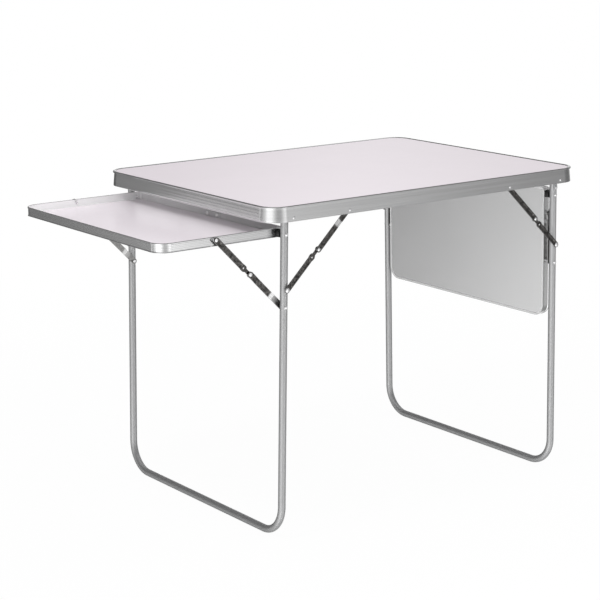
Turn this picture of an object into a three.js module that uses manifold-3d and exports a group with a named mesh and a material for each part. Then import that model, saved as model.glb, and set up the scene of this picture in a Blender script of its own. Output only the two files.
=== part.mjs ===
// A folding table with a side tray at each end, in millimetres, +Z up, standing on the floor at z = 0.
// Each leg frame folds flat under the top. Each tray swings on its leg frame between raised and hanging.
// The left tray stands raised and the right tray hangs between its legs.
import * as THREE from "three";
import { mergeVertices } from "three/addons/utils/BufferGeometryUtils.js";
import Module from "manifold-3d";

const wasm = await Module();
wasm.setup();

// Fits that every piece shares
const seatGap = 0.3;
const holeGap = 0.3;
const cutOverrun = 3;

// Table top: a laminated panel held in a rim of aluminium section
const topLength = 800;
const topWidth = 600;
const topHeight = 666;
const topCornerRadius = 40;
const topPanelThickness = 5;
const topPanelRebate = 1;
const rimHeight = 31;
const rimWall = 1.6;
const rimBead = 3;
const rimBeadHeight = 3.8;
const rimBeadSlope = 1.8;
const rimEdgeRound = 0.8;
const rimLipReach = 1;
const rimLipThickness = 1.2;
const rimShelfReach = 3;
const rimShelfThickness = 1.4;
const rimFootProud = 2.5;
const rimFootHeight = 1.8;
const rimFootSlope = 2.2;
const rimRivetRise = 7;

// Leg frames: one bent tube each, splayed a little so that the feet stand wider than the pivots
const tubeRadius = 7.5;
const tubeWall = 1.2;
const tubeBendRadius = 60;
const leftPivotInset = 48.5;
const leftPivotRise = 9;
const leftTubeAbovePivot = 9;
const leftSplayDegrees = 1.36;
const rightPivotInset = 51.5;
const foldedFrameStep = 20;
const rightTubeAbovePivot = 14;
const rightSplayDegrees = 0.9;

// Hanger that carries a leg frame under the top
const hangerWidth = 15;
const hangerSheet = 2;
const hangerFlange = 24;
const leftRimRivetReach = 6.4;

// Main braces: two flat links each, between the rim and a leg
const linkThickness = 1.6;
const linkHalfWidth = 5.2;
const linkNeckHalfWidth = 3.7;
const linkNeckStart = 6;
const linkNeckEnd = 15;
const collarDistance = 20;
const collarLength = 7;
const collarHalfWidth = 6.2;
const collarProud = 0.6;
const leftBraceReach = 140.5;
const leftUpperLink = 99.6;
const rightBraceReach = 143;
const rightUpperLink = 110;
const braceBoltDrop = 106.6;

// Rivets and bolts
const shankRadius = 2.4;
const shoulderRadius = 4;
const headHeight = 1.5;
const rimRivetHeadRadius = 3.2;
const rimRivetHeadHeight = 1.9;
const braceBoltHeadRadius = 4.7;
const kneeHeadRadius = 3.6;
const legBoltHeadRadius = 3.7;
const legBoltHeadHeight = 1.8;
const tailRadius = 3.2;

// Trays: a thin panel at the foot of a low rim, turning on a bolt and bush in each leg
const trayReach = 269;
const trayInnerReach = 13;
const trayPivotDrop = 57.5;
const trayOuterCornerRadius = 28;
const trayInnerCornerRadius = 9;
const trayPanelThickness = 2.4;
const trayPanelRebate = 0.8;
const trayRimAbovePivot = 10.5;
const trayRimBelowPivot = 8;
const trayWall = 1.4;
const trayBead = 1;
const trayBeadHeight = 3;
const trayLipReach = 1.6;
const trayLipThickness = 0.8;
const trayLedgeReach = 2.2;
const trayStrutReach = 146;
const trayStrutRise = 4.5;
const leftStrutDrop = 141;
const rightStrutDrop = 145.5;
const bushLength = 9.9;
const bushRadius = 9;
const spliceHalfLength = 27;
const spliceHeight = 9;
const spliceThickness = 1.2;
const spliceOffset = -18;
const spliceRivetSpacing = 35;

// Facets
const cornerSteps = 6;
const bendSteps = 6;
const tubeSides = 12;
const pinSides = 10;
const linkEndSteps = 5;

const yAxis = new THREE.Vector3(0, 1, 0);
const quarterTurn = Math.PI / 2;

function finish(color, roughness, metalness) {
  return new THREE.MeshStandardMaterial({ color, roughness, metalness });
}

const laminate = finish("#e6e1e6", 0.45, 0);
const aluminium = finish("#b0b1b3", 0.35, 0.9);
const legFinish = finish("#b9bbbd", 0.4, 0.6);
const plated = finish("#8e9196", 0.2, 1);
const blackPlastic = finish("#151515", 0.6, 0);

// Heights of the rivets, pivots and bolts, from the rim's foot, the top and each other
const rimRivetHeight = topHeight - rimHeight + rimRivetRise;
const leftPivotHeight = topHeight - rimHeight + leftPivotRise;
const rightPivotHeight = leftPivotHeight - foldedFrameStep;
const trayPivotHeight = topHeight - trayPivotDrop;
const braceBoltHeight = trayPivotHeight - braceBoltDrop;

// Layers across the width, from the rim inwards, as distances from the table's middle line
const rimFace = topWidth / 2 - rimBead;
const rimInnerFace = rimFace - rimWall;
const upperLinkOuter = rimInnerFace - headHeight - 2 * seatGap;
const upperLinkInner = upperLinkOuter - linkThickness;
const lowerLinkOuter = upperLinkInner - headHeight - 2 * seatGap;
const lowerLinkInner = lowerLinkOuter - linkThickness;
const legOuter = lowerLinkInner - collarProud - legBoltHeadHeight - 2 * seatGap;
const legMiddle = legOuter - tubeRadius;
const legInner = legMiddle - tubeRadius;
const legStrutOuter = legInner - seatGap;
const legStrutInner = legStrutOuter - linkThickness;
const trayStrutOuter = legStrutInner - headHeight - 2 * seatGap;
const trayStrutInner = trayStrutOuter - linkThickness;
const trayHalfWidth = legInner - bushLength - 2 * seatGap;
const trayWallOuter = trayHalfWidth - trayBead;
const trayWallInner = trayWallOuter - trayWall;

// Solids and meshes

function solidOf(geometry) {
  const bare = geometry.index ? geometry.toNonIndexed() : geometry.clone();
  bare.deleteAttribute("normal");
  bare.deleteAttribute("uv");
  const merged = mergeVertices(bare);
  const vertProperties = merged.attributes.position.array;
  const triVerts = new Uint32Array(merged.index.array);
  return new wasm.Manifold(new wasm.Mesh({ numProp: 3, vertProperties, triVerts }));
}

function geometryOf(solid) {
  const mesh = solid.getMesh();
  const geometry = new THREE.BufferGeometry();
  geometry.setAttribute("position", new THREE.BufferAttribute(mesh.vertProperties, mesh.numProp));
  geometry.setIndex(new THREE.BufferAttribute(mesh.triVerts, 1));
  geometry.computeVertexNormals();
  return geometry;
}

function meshOf(name, solid, material) {
  const mesh = new THREE.Mesh(geometryOf(solid), material);
  mesh.name = name;
  return mesh;
}

function joined(solids) {
  return solids.reduce((whole, piece) => whole.add(piece));
}

function cut(solid, tools) {
  return tools.reduce((rest, tool) => rest.subtract(tool), solid);
}

// A turned piece whose axis runs along Y. Each step is a radius and a distance from the table's middle line,
// and side is -1 for the near side and 1 for the far side.
function turned(side, steps) {
  const first = steps[0][1];
  const last = steps[steps.length - 1][1];
  const profile = [[0, first], ...steps, [0, last]];
  const points = profile.map(([radius, distance]) => new THREE.Vector2(radius, side * distance));
  if (points[0].y > points[points.length - 1].y) points.reverse();
  return solidOf(new THREE.LatheGeometry(points, pinSides));
}

// A hole for a shank, along Y between two distances from the middle line
function hole(side, from, to, x, z) {
  const radius = shankRadius + holeGap;
  return turned(side, [[radius, from], [radius, to]]).translate(x, 0, z);
}

// A head whose rim is rounded off, rising from a seat
function headSteps(radius, seat, height) {
  const crownShare = 0.62;
  const shoulderShare = 0.45;
  return [
    [radius, seat],
    [radius, seat + height * shoulderShare],
    [radius * crownShare, seat + height],
  ];
}

// A flat shape in x and z, given its thickness along Y
function plate(shape, from, to) {
  const geometry = new THREE.ExtrudeGeometry(shape, { depth: to - from, bevelEnabled: false });
  geometry.rotateX(quarterTurn);
  geometry.translate(0, to, 0);
  return solidOf(geometry);
}

function sidePlate(side, shape, inner, outer) {
  return side < 0 ? plate(shape, -outer, -inner) : plate(shape, inner, outer);
}

function polygon(points) {
  return new THREE.Shape(points.map(([x, y]) => new THREE.Vector2(x, y)));
}

// The rounded rectangle that a rim follows, as points at a given inset from its outline
function cornerStations(box, inset) {
  const corners = [
    [box.right, box.far, box.rightRadius],
    [box.left, box.far, box.leftRadius],
    [box.left, box.near, box.leftRadius],
    [box.right, box.near, box.rightRadius],
  ];
  const stations = [];
  corners.forEach(([x, y, radius], corner) => {
    const centreX = x - Math.sign(x - (box.left + box.right) / 2) * radius;
    const centreY = y - Math.sign(y - (box.near + box.far) / 2) * radius;
    for (let step = 0; step <= cornerSteps; step++) {
      const angle = (corner + step / cornerSteps) * quarterTurn;
      const reach = radius - inset;
      stations.push([centreX + reach * Math.cos(angle), centreY + reach * Math.sin(angle)]);
    }
  });
  return stations;
}

// A closed section carried round a rounded rectangle. The section's points are an inset and a height.
function rimRing(box, section) {
  const rings = section.map(([inset, z]) => cornerStations(box, inset).map(([x, y]) => [x, y, z]));
  const count = rings[0].length;
  const positions = [];
  for (let i = 0; i < count; i++) {
    const next = (i + 1) % count;
    rings.forEach((ring, j) => {
      const other = rings[(j + 1) % rings.length];
      positions.push(...ring[i], ...ring[next], ...other[next]);
      positions.push(...ring[i], ...other[next], ...other[i]);
    });
  }
  const geometry = new THREE.BufferGeometry();
  geometry.setAttribute("position", new THREE.Float32BufferAttribute(positions, 3));
  return solidOf(geometry);
}

function roundedPanel(box, inset, bottom, top) {
  const shape = polygon(cornerStations(box, inset));
  const geometry = new THREE.ExtrudeGeometry(shape, { depth: top - bottom, bevelEnabled: false });
  geometry.translate(0, 0, bottom);
  return solidOf(geometry);
}

// A link lies along +X from its pivot, at x = 0, to its knee
function linkShape(length, necked) {
  const half = linkHalfWidth;
  const shape = new THREE.Shape();
  shape.absarc(0, 0, half, quarterTurn, 3 * quarterTurn, false);
  if (necked) {
    shape.lineTo(length - linkNeckEnd, -half);
    shape.lineTo(length - linkNeckEnd + half - linkNeckHalfWidth, -linkNeckHalfWidth);
    shape.lineTo(length - linkNeckStart, -linkNeckHalfWidth);
  }
  shape.absarc(length, 0, half, -quarterTurn, quarterTurn, false);
  if (necked) {
    shape.lineTo(length - linkNeckStart, linkNeckHalfWidth);
    shape.lineTo(length - linkNeckEnd + half - linkNeckHalfWidth, linkNeckHalfWidth);
    shape.lineTo(length - linkNeckEnd, half);
  }
  return new THREE.Shape(shape.getPoints(linkEndSteps));
}

function collarShape(length) {
  const near = length - collarDistance - collarLength / 2;
  const far = near + collarLength;
  return polygon([
    [near, -collarHalfWidth],
    [far, -collarHalfWidth],
    [far, collarHalfWidth],
    [near, collarHalfWidth],
  ]);
}

// A link with what it carries of the knee rivet, which stands out from a face of the link at the knee
function linkSolid(side, length, inner, outer, boss, collared) {
  const pieces = [sidePlate(side, linkShape(length, collared), inner, outer)];
  if (boss) pieces.push(turned(side, boss).translate(length, 0, 0));
  if (collared) {
    pieces.push(sidePlate(side, collarShape(length), inner - collarProud, outer + collarProud));
  }
  return joined(pieces).subtract(hole(side, inner - cutOverrun, outer + cutOverrun, 0, 0));
}

// Places a link at its pivot, pointing at its knee. Points hold x and z of the group that the link is in.
function placeLink(mesh, pivot, knee) {
  mesh.position.set(pivot.x, 0, pivot.z);
  mesh.rotation.y = -Math.atan2(knee.z - pivot.z, knee.x - pivot.x);
  return mesh;
}

function point(x, z) {
  return new THREE.Vector3(x, 0, z);
}

// The top: its panel, its rim with holes for the rivets, and nothing that moves
const topBox = {
  left: -topLength / 2,
  right: topLength / 2,
  near: -topWidth / 2,
  far: topWidth / 2,
  leftRadius: topCornerRadius,
  rightRadius: topCornerRadius,
};
const topTongue = topPanelThickness - topPanelRebate;
const slotFloor = topHeight - rimLipThickness - topTongue - 2 * seatGap;

function topRimSection() {
  const wallInset = rimBead + rimWall;
  const lipInset = wallInset + rimLipReach;
  const shelfInset = wallInset + rimShelfReach;
  const footInset = rimBead - rimFootProud;
  const foot = topHeight - rimHeight;
  const shelfUnder = slotFloor - rimShelfThickness;
  return [
    [rimEdgeRound, topHeight],
    [lipInset, topHeight],
    [lipInset, topHeight - rimLipThickness],
    [wallInset, topHeight - rimLipThickness],
    [wallInset, slotFloor],
    [shelfInset, slotFloor],
    [shelfInset, shelfUnder],
    [wallInset, shelfUnder],
    [wallInset, foot],
    [footInset, foot],
    [footInset, foot + rimFootHeight],
    [rimBead, foot + rimFootHeight + rimFootSlope],
    [rimBead, topHeight - rimBeadHeight - rimBeadSlope],
    [0, topHeight - rimBeadHeight],
    [0, topHeight - rimEdgeRound],
  ];
}

function topRim(rivetPlaces) {
  const ring = rimRing(topBox, topRimSection());
  const holes = rivetPlaces.flatMap(([x, z]) =>
    [-1, 1].map((side) => hole(side, rimInnerFace - cutOverrun, topWidth / 2 + cutOverrun, x, z)),
  );
  return meshOf("top_rim", cut(ring, holes), aluminium);
}

// A board whose edge is rebated, so that its tongue lies in the rim's slot and its face inside the rim's lip
function rebatedPanel(box, tongueInset, faceInset, bottom, tongue, thickness) {
  const edge = roundedPanel(box, tongueInset, bottom, bottom + tongue);
  return edge.add(roundedPanel(box, faceInset, bottom, bottom + thickness));
}

function topPanel() {
  const inset = rimBead + rimWall + seatGap;
  const faceInset = inset + rimLipReach;
  const solid = rebatedPanel(topBox, inset, faceInset, slotFloor + seatGap, topTongue, topPanelThickness);
  return meshOf("top_panel", solid, laminate);
}

// A hanger: a flange under the panel, and a tongue beside the leg down to its rounded end. A stud at the
// pivot, where x = 0, enters the leg's tube, and the hole for the rim's rivet lies at the rivet's reach.
function hanger(side, pivotHeight, rivetReach) {
  const half = hangerWidth / 2;
  const tongueInner = legOuter + seatGap;
  const tongueOuter = tongueInner + hangerSheet;
  const flangeTop = slotFloor;
  const tongue = new THREE.Shape();
  tongue.moveTo(rivetReach + half, flangeTop);
  tongue.lineTo(-half, flangeTop);
  tongue.absarc(0, pivotHeight, half, Math.PI, 1.5 * Math.PI, false);
  tongue.absarc(rivetReach, pivotHeight, half, 1.5 * Math.PI, 2 * Math.PI, false);
  const outline = new THREE.Shape(tongue.getPoints(linkEndSteps));
  const flange = polygon([
    [-half, flangeTop - hangerSheet],
    [rivetReach + half, flangeTop - hangerSheet],
    [rivetReach + half, flangeTop],
    [-half, flangeTop],
  ]);
  const sheet = joined([
    sidePlate(side, outline, tongueInner, tongueOuter),
    sidePlate(side, flange, tongueOuter - hangerFlange, tongueOuter),
  ]);
  const drilled = sheet.subtract(
    hole(side, tongueInner - cutOverrun, tongueOuter + cutOverrun, rivetReach, rimRivetHeight),
  );
  const stud = turned(side, [
    [shankRadius, legInner + seatGap],
    [shankRadius, tongueInner + hangerSheet / 2],
  ]);
  return drilled.add(stud.translate(0, 0, pivotHeight));
}

// The rivet that joins the rim to a hanger
function hangerRivet(side) {
  const tongueInner = legOuter + seatGap;
  const tongueOuter = tongueInner + hangerSheet;
  return turned(side, [
    [shankRadius, tongueInner + seatGap],
    [shankRadius, tongueOuter + seatGap],
    [shoulderRadius, tongueOuter + seatGap],
    [shoulderRadius, rimInnerFace - seatGap],
    [shankRadius, rimInnerFace - seatGap],
    [shankRadius, rimFace + seatGap],
    ...headSteps(rimRivetHeadRadius, rimFace + seatGap, rimRivetHeadHeight),
  ]);
}

// The rivet that carries an upper link inside the rim
function braceRivet(side) {
  return turned(side, [
    [shankRadius, upperLinkInner],
    [shankRadius, upperLinkOuter + seatGap],
    [shoulderRadius, upperLinkOuter + seatGap],
    [shoulderRadius, rimInnerFace - seatGap],
    [shankRadius, rimInnerFace - seatGap],
    [shankRadius, rimFace + seatGap],
    ...headSteps(rimRivetHeadRadius, rimFace + seatGap, rimRivetHeadHeight),
  ]);
}

function upperLink(side, length) {
  const boss = [
    [kneeHeadRadius, upperLinkOuter - linkThickness / 2],
    ...headSteps(kneeHeadRadius, upperLinkOuter, headHeight),
  ];
  return linkSolid(side, length, upperLinkInner, upperLinkOuter, boss, false);
}

function lowerLink(side, length) {
  const boss = [
    [kneeHeadRadius, lowerLinkInner - collarProud],
    [kneeHeadRadius, upperLinkInner - seatGap],
  ];
  return linkSolid(side, length, lowerLinkInner, lowerLinkOuter, boss, true);
}

// The bolt that carries a lower link, blind inside the tube
function braceBolt(side) {
  return turned(side, [
    [shankRadius, legMiddle - tubeRadius / 2],
    [shankRadius, legOuter + seatGap],
    [shoulderRadius, legOuter + seatGap],
    [shoulderRadius, lowerLinkInner - seatGap],
    [shankRadius, lowerLinkInner - seatGap],
    [shankRadius, lowerLinkOuter + seatGap],
    ...headSteps(braceBoltHeadRadius, lowerLinkOuter + seatGap, headHeight),
  ]);
}

// The bolt that carries the tray's leg strut on the inner side of the leg
function strutBolt(side) {
  return turned(side, [
    [tailRadius, legStrutInner - seatGap - headHeight],
    [tailRadius, legStrutInner - seatGap],
    [shankRadius, legStrutInner - seatGap],
    [shankRadius, legOuter + seatGap],
    ...headSteps(legBoltHeadRadius, legOuter + seatGap, legBoltHeadHeight),
  ]);
}

// The bolt that the tray turns on, through the leg, the bush and the tray's rim
function trayBolt(side) {
  return turned(side, [
    [tailRadius, trayWallInner - seatGap - headHeight],
    [tailRadius, trayWallInner - seatGap],
    [shankRadius, trayWallInner - seatGap],
    [shankRadius, legOuter + seatGap],
    ...headSteps(legBoltHeadRadius, legOuter + seatGap, legBoltHeadHeight),
  ]);
}

function trayBush(side) {
  const inner = trayHalfWidth + seatGap;
  const body = turned(side, [
    [bushRadius, inner],
    [bushRadius, inner + bushLength],
  ]);
  return body.subtract(hole(side, inner - cutOverrun, inner + bushLength + cutOverrun, 0, 0));
}

// The knee rivet of a tray's struts is flush in the leg strut, so the tray strut carries all that stands out
function strutOnLeg(side, length) {
  return linkSolid(side, length, legStrutInner, legStrutOuter, null, false);
}

function strutOnTray(side, length) {
  const boss = [
    ...headSteps(kneeHeadRadius, trayStrutInner, -headHeight).reverse(),
    [kneeHeadRadius, legStrutInner - seatGap],
  ];
  return linkSolid(side, length, trayStrutInner, trayStrutOuter, boss, true);
}

// The rivet that carries the tray's own strut on the outside of its rim
function strutRivet(side) {
  return turned(side, [
    [tailRadius, trayWallInner - seatGap - headHeight],
    [tailRadius, trayWallInner - seatGap],
    [shankRadius, trayWallInner - seatGap],
    [shankRadius, trayHalfWidth + seatGap],
    [shoulderRadius, trayHalfWidth + seatGap],
    [shoulderRadius, trayStrutInner - seatGap - headHeight],
    [shankRadius, trayStrutInner - seatGap - headHeight],
    [shankRadius, trayStrutOuter],
  ]);
}

// A path that hands a sweep exactly the points and directions that it was given
class StationPath extends THREE.Curve {
  constructor(stations) {
    super();
    this.stations = stations;
  }
  station(share) {
    return this.stations[Math.round(share * (this.stations.length - 1))];
  }
  getPointAt(share) {
    return this.station(share).at.clone();
  }
  getTangentAt(share) {
    return this.station(share).along.clone();
  }
}

// The U of a leg frame, from the pivot at the origin down by a drop to its rail, in its own plane x = 0
function tubeStations(drop, abovePivot) {
  const stations = [];
  const add = (y, z, alongY, alongZ) =>
    stations.push({ at: new THREE.Vector3(0, y, z), along: new THREE.Vector3(0, alongY, alongZ) });
  const bendY = legMiddle - tubeBendRadius;
  const bendZ = tubeBendRadius - drop;
  add(-legMiddle, abovePivot, 0, -1);
  for (let step = 0; step <= bendSteps; step++) {
    const angle = (step / bendSteps) * quarterTurn;
    const y = -bendY - tubeBendRadius * Math.cos(angle);
    add(y, bendZ - tubeBendRadius * Math.sin(angle), Math.sin(angle), -Math.cos(angle));
  }
  for (let step = bendSteps; step >= 0; step--) {
    const angle = (step / bendSteps) * quarterTurn;
    const y = bendY + tubeBendRadius * Math.cos(angle);
    add(y, bendZ - tubeBendRadius * Math.sin(angle), Math.sin(angle), Math.cos(angle));
  }
  add(legMiddle, abovePivot, 0, 1);
  return stations;
}

function circle(radius) {
  const points = [];
  for (let side = 0; side < tubeSides; side++) {
    const angle = (side / tubeSides) * 2 * Math.PI;
    points.push(new THREE.Vector2(radius * Math.cos(angle), radius * Math.sin(angle)));
  }
  return points;
}

function legTube(drop, abovePivot, heights) {
  const section = new THREE.Shape(circle(tubeRadius));
  section.holes.push(new THREE.Path(circle(tubeRadius - tubeWall)));
  const stations = tubeStations(drop, abovePivot);
  const geometry = new THREE.ExtrudeGeometry(section, {
    steps: stations.length - 1,
    extrudePath: new StationPath(stations),
  });
  const through = legInner - cutOverrun;
  const holes = [-1, 1].flatMap((side) => [
    hole(side, through, legOuter + cutOverrun, 0, 0),
    hole(side, through, legOuter + cutOverrun, 0, heights.trayPivot),
    hole(side, through, legOuter + cutOverrun, 0, heights.strutBolt),
    hole(side, legMiddle, legOuter + cutOverrun, 0, heights.braceBolt),
  ]);
  return cut(solidOf(geometry), holes);
}

// A tray stands with its pivot at the origin, its panel level and its far end towards -X
const trayBox = {
  left: -trayReach,
  right: trayInnerReach,
  near: -trayHalfWidth,
  far: trayHalfWidth,
  leftRadius: trayOuterCornerRadius,
  rightRadius: trayInnerCornerRadius,
};

const trayTongue = trayPanelThickness - trayPanelRebate;
const traySlot = trayLipThickness - trayRimBelowPivot;
const trayLedge = traySlot + trayTongue + 2 * seatGap;

function trayRimSection() {
  const wallInset = trayBead + trayWall;
  const foot = -trayRimBelowPivot;
  const beadFoot = trayRimAbovePivot - trayBeadHeight;
  return [
    [0, trayRimAbovePivot],
    [wallInset, trayRimAbovePivot],
    [wallInset, trayLedge + trayLipThickness],
    [wallInset + trayLedgeReach, trayLedge + trayLipThickness],
    [wallInset + trayLedgeReach, trayLedge],
    [wallInset, trayLedge],
    [wallInset, traySlot],
    [wallInset + trayLipReach, traySlot],
    [wallInset + trayLipReach, foot],
    [0, foot],
    [0, foot + trayLipThickness],
    [trayBead, foot + trayLipThickness + trayBead],
    [trayBead, beadFoot - trayBead],
    [0, beadFoot],
  ];
}

function trayRim() {
  const ring = rimRing(trayBox, trayRimSection());
  const places = [
    [0, 0],
    [-trayStrutReach, trayStrutRise],
  ];
  const holes = [-1, 1].flatMap((side) =>
    places.map(([x, z]) => hole(side, trayWallInner - cutOverrun, trayHalfWidth + cutOverrun, x, z)),
  );
  return cut(ring, holes);
}

function trayPanel() {
  const inset = trayBead + trayWall + seatGap;
  const faceInset = inset + trayLedgeReach;
  return rebatedPanel(trayBox, inset, faceInset, traySlot + seatGap, trayTongue, trayPanelThickness);
}

// The plate that joins the ends of the tray's rim, on the inner face of its leg side, with two rivets
function traySplice() {
  const face = trayInnerReach - trayBead - trayWall - seatGap;
  const low = trayLedge + trayLipThickness + seatGap;
  const plateBody = new THREE.BoxGeometry(spliceThickness, 2 * spliceHalfLength, spliceHeight);
  plateBody.translate(face - spliceThickness / 2, spliceOffset, low + spliceHeight / 2);
  const heads = [-1, 1].map((end) => {
    const y = spliceOffset + (end * spliceRivetSpacing) / 2;
    const head = turned(1, [
      [tailRadius, -spliceThickness / 2],
      ...headSteps(tailRadius, 0, headHeight),
    ]);
    return head.rotate(0, 0, 90).translate(face - spliceThickness, y, low + spliceHeight / 2);
  });
  return joined([solidOf(plateBody), ...heads]);
}

function tray(label, sideName, turn) {
  const group = new THREE.Group();
  group.rotation.y = turn;
  group.add(meshOf(`${label}_tray_panel`, trayPanel(), laminate));
  group.add(meshOf(`${label}_tray_rim`, trayRim(), aluminium));
  group.add(meshOf(`${label}_tray_splice`, traySplice(), aluminium));
  for (const side of [-1, 1]) {
    const rivet = meshOf(`${label}_${sideName(side)}_strut_rivet`, strutRivet(side), plated);
    rivet.position.set(-trayStrutReach, 0, trayStrutRise);
    group.add(rivet);
  }
  return group;
}

// The pair of struts that holds a tray, in the leg group. It is straight while the tray is raised. It is doubled
// while the tray hangs, and its knee then lies on the leg's middle line.
function addStruts(legGroup, trayGroup, end, sideName, raisedTurn) {
  const label = end.label;
  const legPivot = point(0, trayGroup.position.z - end.strutDrop);
  const trayPivot = point(-trayStrutReach, trayStrutRise);
  const trayPivotAt = (turn) => trayPivot.clone().applyAxisAngle(yAxis, turn).add(trayGroup.position);
  const raisedPivot = trayPivotAt(raisedTurn);
  const hangingPivot = trayPivotAt(-quarterTurn);
  const span = legPivot.distanceTo(raisedPivot);
  const below = legPivot.z - hangingPivot.z;
  const legLength = (span ** 2 - below ** 2 - hangingPivot.x ** 2) / (2 * (span + below));
  const trayLength = span - legLength;
  const knee = end.trayRaised
    ? legPivot.clone().lerp(raisedPivot, legLength / span)
    : point(0, legPivot.z + legLength);
  const kneeOnTray = knee.clone().sub(trayGroup.position).applyAxisAngle(yAxis, -trayGroup.rotation.y);
  for (const side of [-1, 1]) {
    const where = `${label}_${sideName(side)}`;
    const onLeg = meshOf(`${where}_leg_strut`, strutOnLeg(side, legLength), plated);
    const onTray = meshOf(`${where}_tray_strut`, strutOnTray(side, trayLength), plated);
    legGroup.add(placeLink(onLeg, legPivot, knee));
    trayGroup.add(placeLink(onTray, trayPivot, kneeOnTray));
  }
}

// One end of the table: hangers, leg frame, braces and tray. It is built as the left end, and the right end
// is the same arrangement turned about the vertical, with sizes of its own for what differs.
function tableEnd(end) {
  const group = new THREE.Group();
  group.rotation.z = end.turn;
  const sideName = (side) => (side * Math.cos(end.turn) < 0 ? "near" : "far");
  const splay = THREE.MathUtils.degToRad(end.splayDegrees);
  const pivot = point(end.pivotInset - topLength / 2, end.pivotHeight);
  const alongLeg = (height) => (height - end.pivotHeight) / Math.cos(splay);
  const heights = {
    trayPivot: alongLeg(trayPivotHeight),
    strutBolt: alongLeg(trayPivotHeight) - end.strutDrop,
    braceBolt: alongLeg(braceBoltHeight),
  };
  const drop = -alongLeg(0) - tubeRadius;

  const legGroup = new THREE.Group();
  legGroup.position.copy(pivot);
  legGroup.rotation.y = splay;
  group.add(legGroup);
  legGroup.add(meshOf(`${end.label}_leg_tube`, legTube(drop, end.tubeAbovePivot, heights), legFinish));

  // A raised tray is level, so it makes up for the leg's splay
  const trayGroup = tray(end.label, sideName, end.trayRaised ? -splay : -quarterTurn);
  trayGroup.position.z = heights.trayPivot;
  legGroup.add(trayGroup);
  addStruts(legGroup, trayGroup, end, sideName, -splay);

  const rimPivot = point(pivot.x + end.braceReach, rimRivetHeight);
  const legPivot = point(0, heights.braceBolt);
  const legPivotOnTop = legPivot.clone().applyAxisAngle(yAxis, splay).add(pivot);
  const span = rimPivot.distanceTo(legPivotOnTop);
  const knee = rimPivot.clone().lerp(legPivotOnTop, end.upperLink / span);
  const kneeOnLeg = knee.clone().sub(pivot).applyAxisAngle(yAxis, -splay);

  for (const side of [-1, 1]) {
    const where = `${end.label}_${sideName(side)}`;
    const addAt = (parent, name, solid, material, x, z) => {
      const mesh = meshOf(`${where}_${name}`, solid, material);
      mesh.position.set(x, 0, z);
      parent.add(mesh);
    };
    addAt(group, "hanger", hanger(side, end.pivotHeight, end.rimRivetReach), plated, pivot.x, 0);
    const rivetX = pivot.x + end.rimRivetReach;
    addAt(group, "hanger_rivet", hangerRivet(side), plated, rivetX, rimRivetHeight);
    addAt(group, "brace_rivet", braceRivet(side), plated, rimPivot.x, rimPivot.z);
    addAt(legGroup, "brace_bolt", braceBolt(side), plated, 0, heights.braceBolt);
    addAt(legGroup, "strut_bolt", strutBolt(side), plated, 0, heights.strutBolt);
    addAt(legGroup, "tray_bolt", trayBolt(side), plated, 0, heights.trayPivot);
    addAt(legGroup, "tray_bush", trayBush(side), blackPlastic, 0, heights.trayPivot);
    const upper = meshOf(`${where}_upper_link`, upperLink(side, end.upperLink), plated);
    const lower = meshOf(`${where}_lower_link`, lowerLink(side, span - end.upperLink), plated);
    group.add(placeLink(upper, rimPivot, knee));
    legGroup.add(placeLink(lower, legPivot, kneeOnLeg));
  }
  return group;
}

const ends = [
  {
    label: "left",
    turn: 0,
    pivotInset: leftPivotInset,
    pivotHeight: leftPivotHeight,
    tubeAbovePivot: leftTubeAbovePivot,
    splayDegrees: leftSplayDegrees,
    braceReach: leftBraceReach,
    upperLink: leftUpperLink,
    strutDrop: leftStrutDrop,
    rimRivetReach: leftRimRivetReach,
    trayRaised: true,
  },
  {
    label: "right",
    turn: Math.PI,
    pivotInset: rightPivotInset,
    pivotHeight: rightPivotHeight,
    tubeAbovePivot: rightTubeAbovePivot,
    splayDegrees: rightSplayDegrees,
    braceReach: rightBraceReach,
    upperLink: rightUpperLink,
    strutDrop: rightStrutDrop,
    rimRivetReach: 0,
    trayRaised: false,
  },
];

const rivetPlaces = ends.flatMap((end) => {
  const outward = -Math.cos(end.turn);
  const pivotX = outward * (topLength / 2 - end.pivotInset);
  return [end.rimRivetReach, end.braceReach].map((reach) => [pivotX - outward * reach, rimRivetHeight]);
});

const table = new THREE.Group();
table.add(topPanel(), topRim(rivetPlaces), ...ends.map(tableEnd));

// The origin lies on the floor under the middle of the table's overall length, with the left tray raised
const extent = new THREE.Box3().setFromObject(table, true);
table.position.x = -(extent.min.x + extent.max.x) / 2;

const part = new THREE.Group();
part.add(table);

export default part;
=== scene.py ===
import math

import bmesh
import bpy
import numpy as np
from mathutils import Matrix, Quaternion, Vector


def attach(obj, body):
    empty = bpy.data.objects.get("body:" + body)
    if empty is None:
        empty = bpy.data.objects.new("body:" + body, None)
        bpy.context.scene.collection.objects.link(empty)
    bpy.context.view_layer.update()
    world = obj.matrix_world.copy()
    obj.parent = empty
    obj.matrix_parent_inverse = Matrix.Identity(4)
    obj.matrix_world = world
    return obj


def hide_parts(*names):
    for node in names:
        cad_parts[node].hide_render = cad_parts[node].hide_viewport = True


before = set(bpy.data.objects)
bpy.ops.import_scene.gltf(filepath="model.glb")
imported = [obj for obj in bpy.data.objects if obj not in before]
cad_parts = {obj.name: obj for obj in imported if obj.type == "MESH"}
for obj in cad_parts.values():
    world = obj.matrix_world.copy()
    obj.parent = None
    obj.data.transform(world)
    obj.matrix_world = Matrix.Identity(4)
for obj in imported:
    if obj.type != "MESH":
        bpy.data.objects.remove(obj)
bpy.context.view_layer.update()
print("frame loaded:", len(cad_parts), "nodes")

mm = 0.001
near = -1
far = 1


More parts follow.
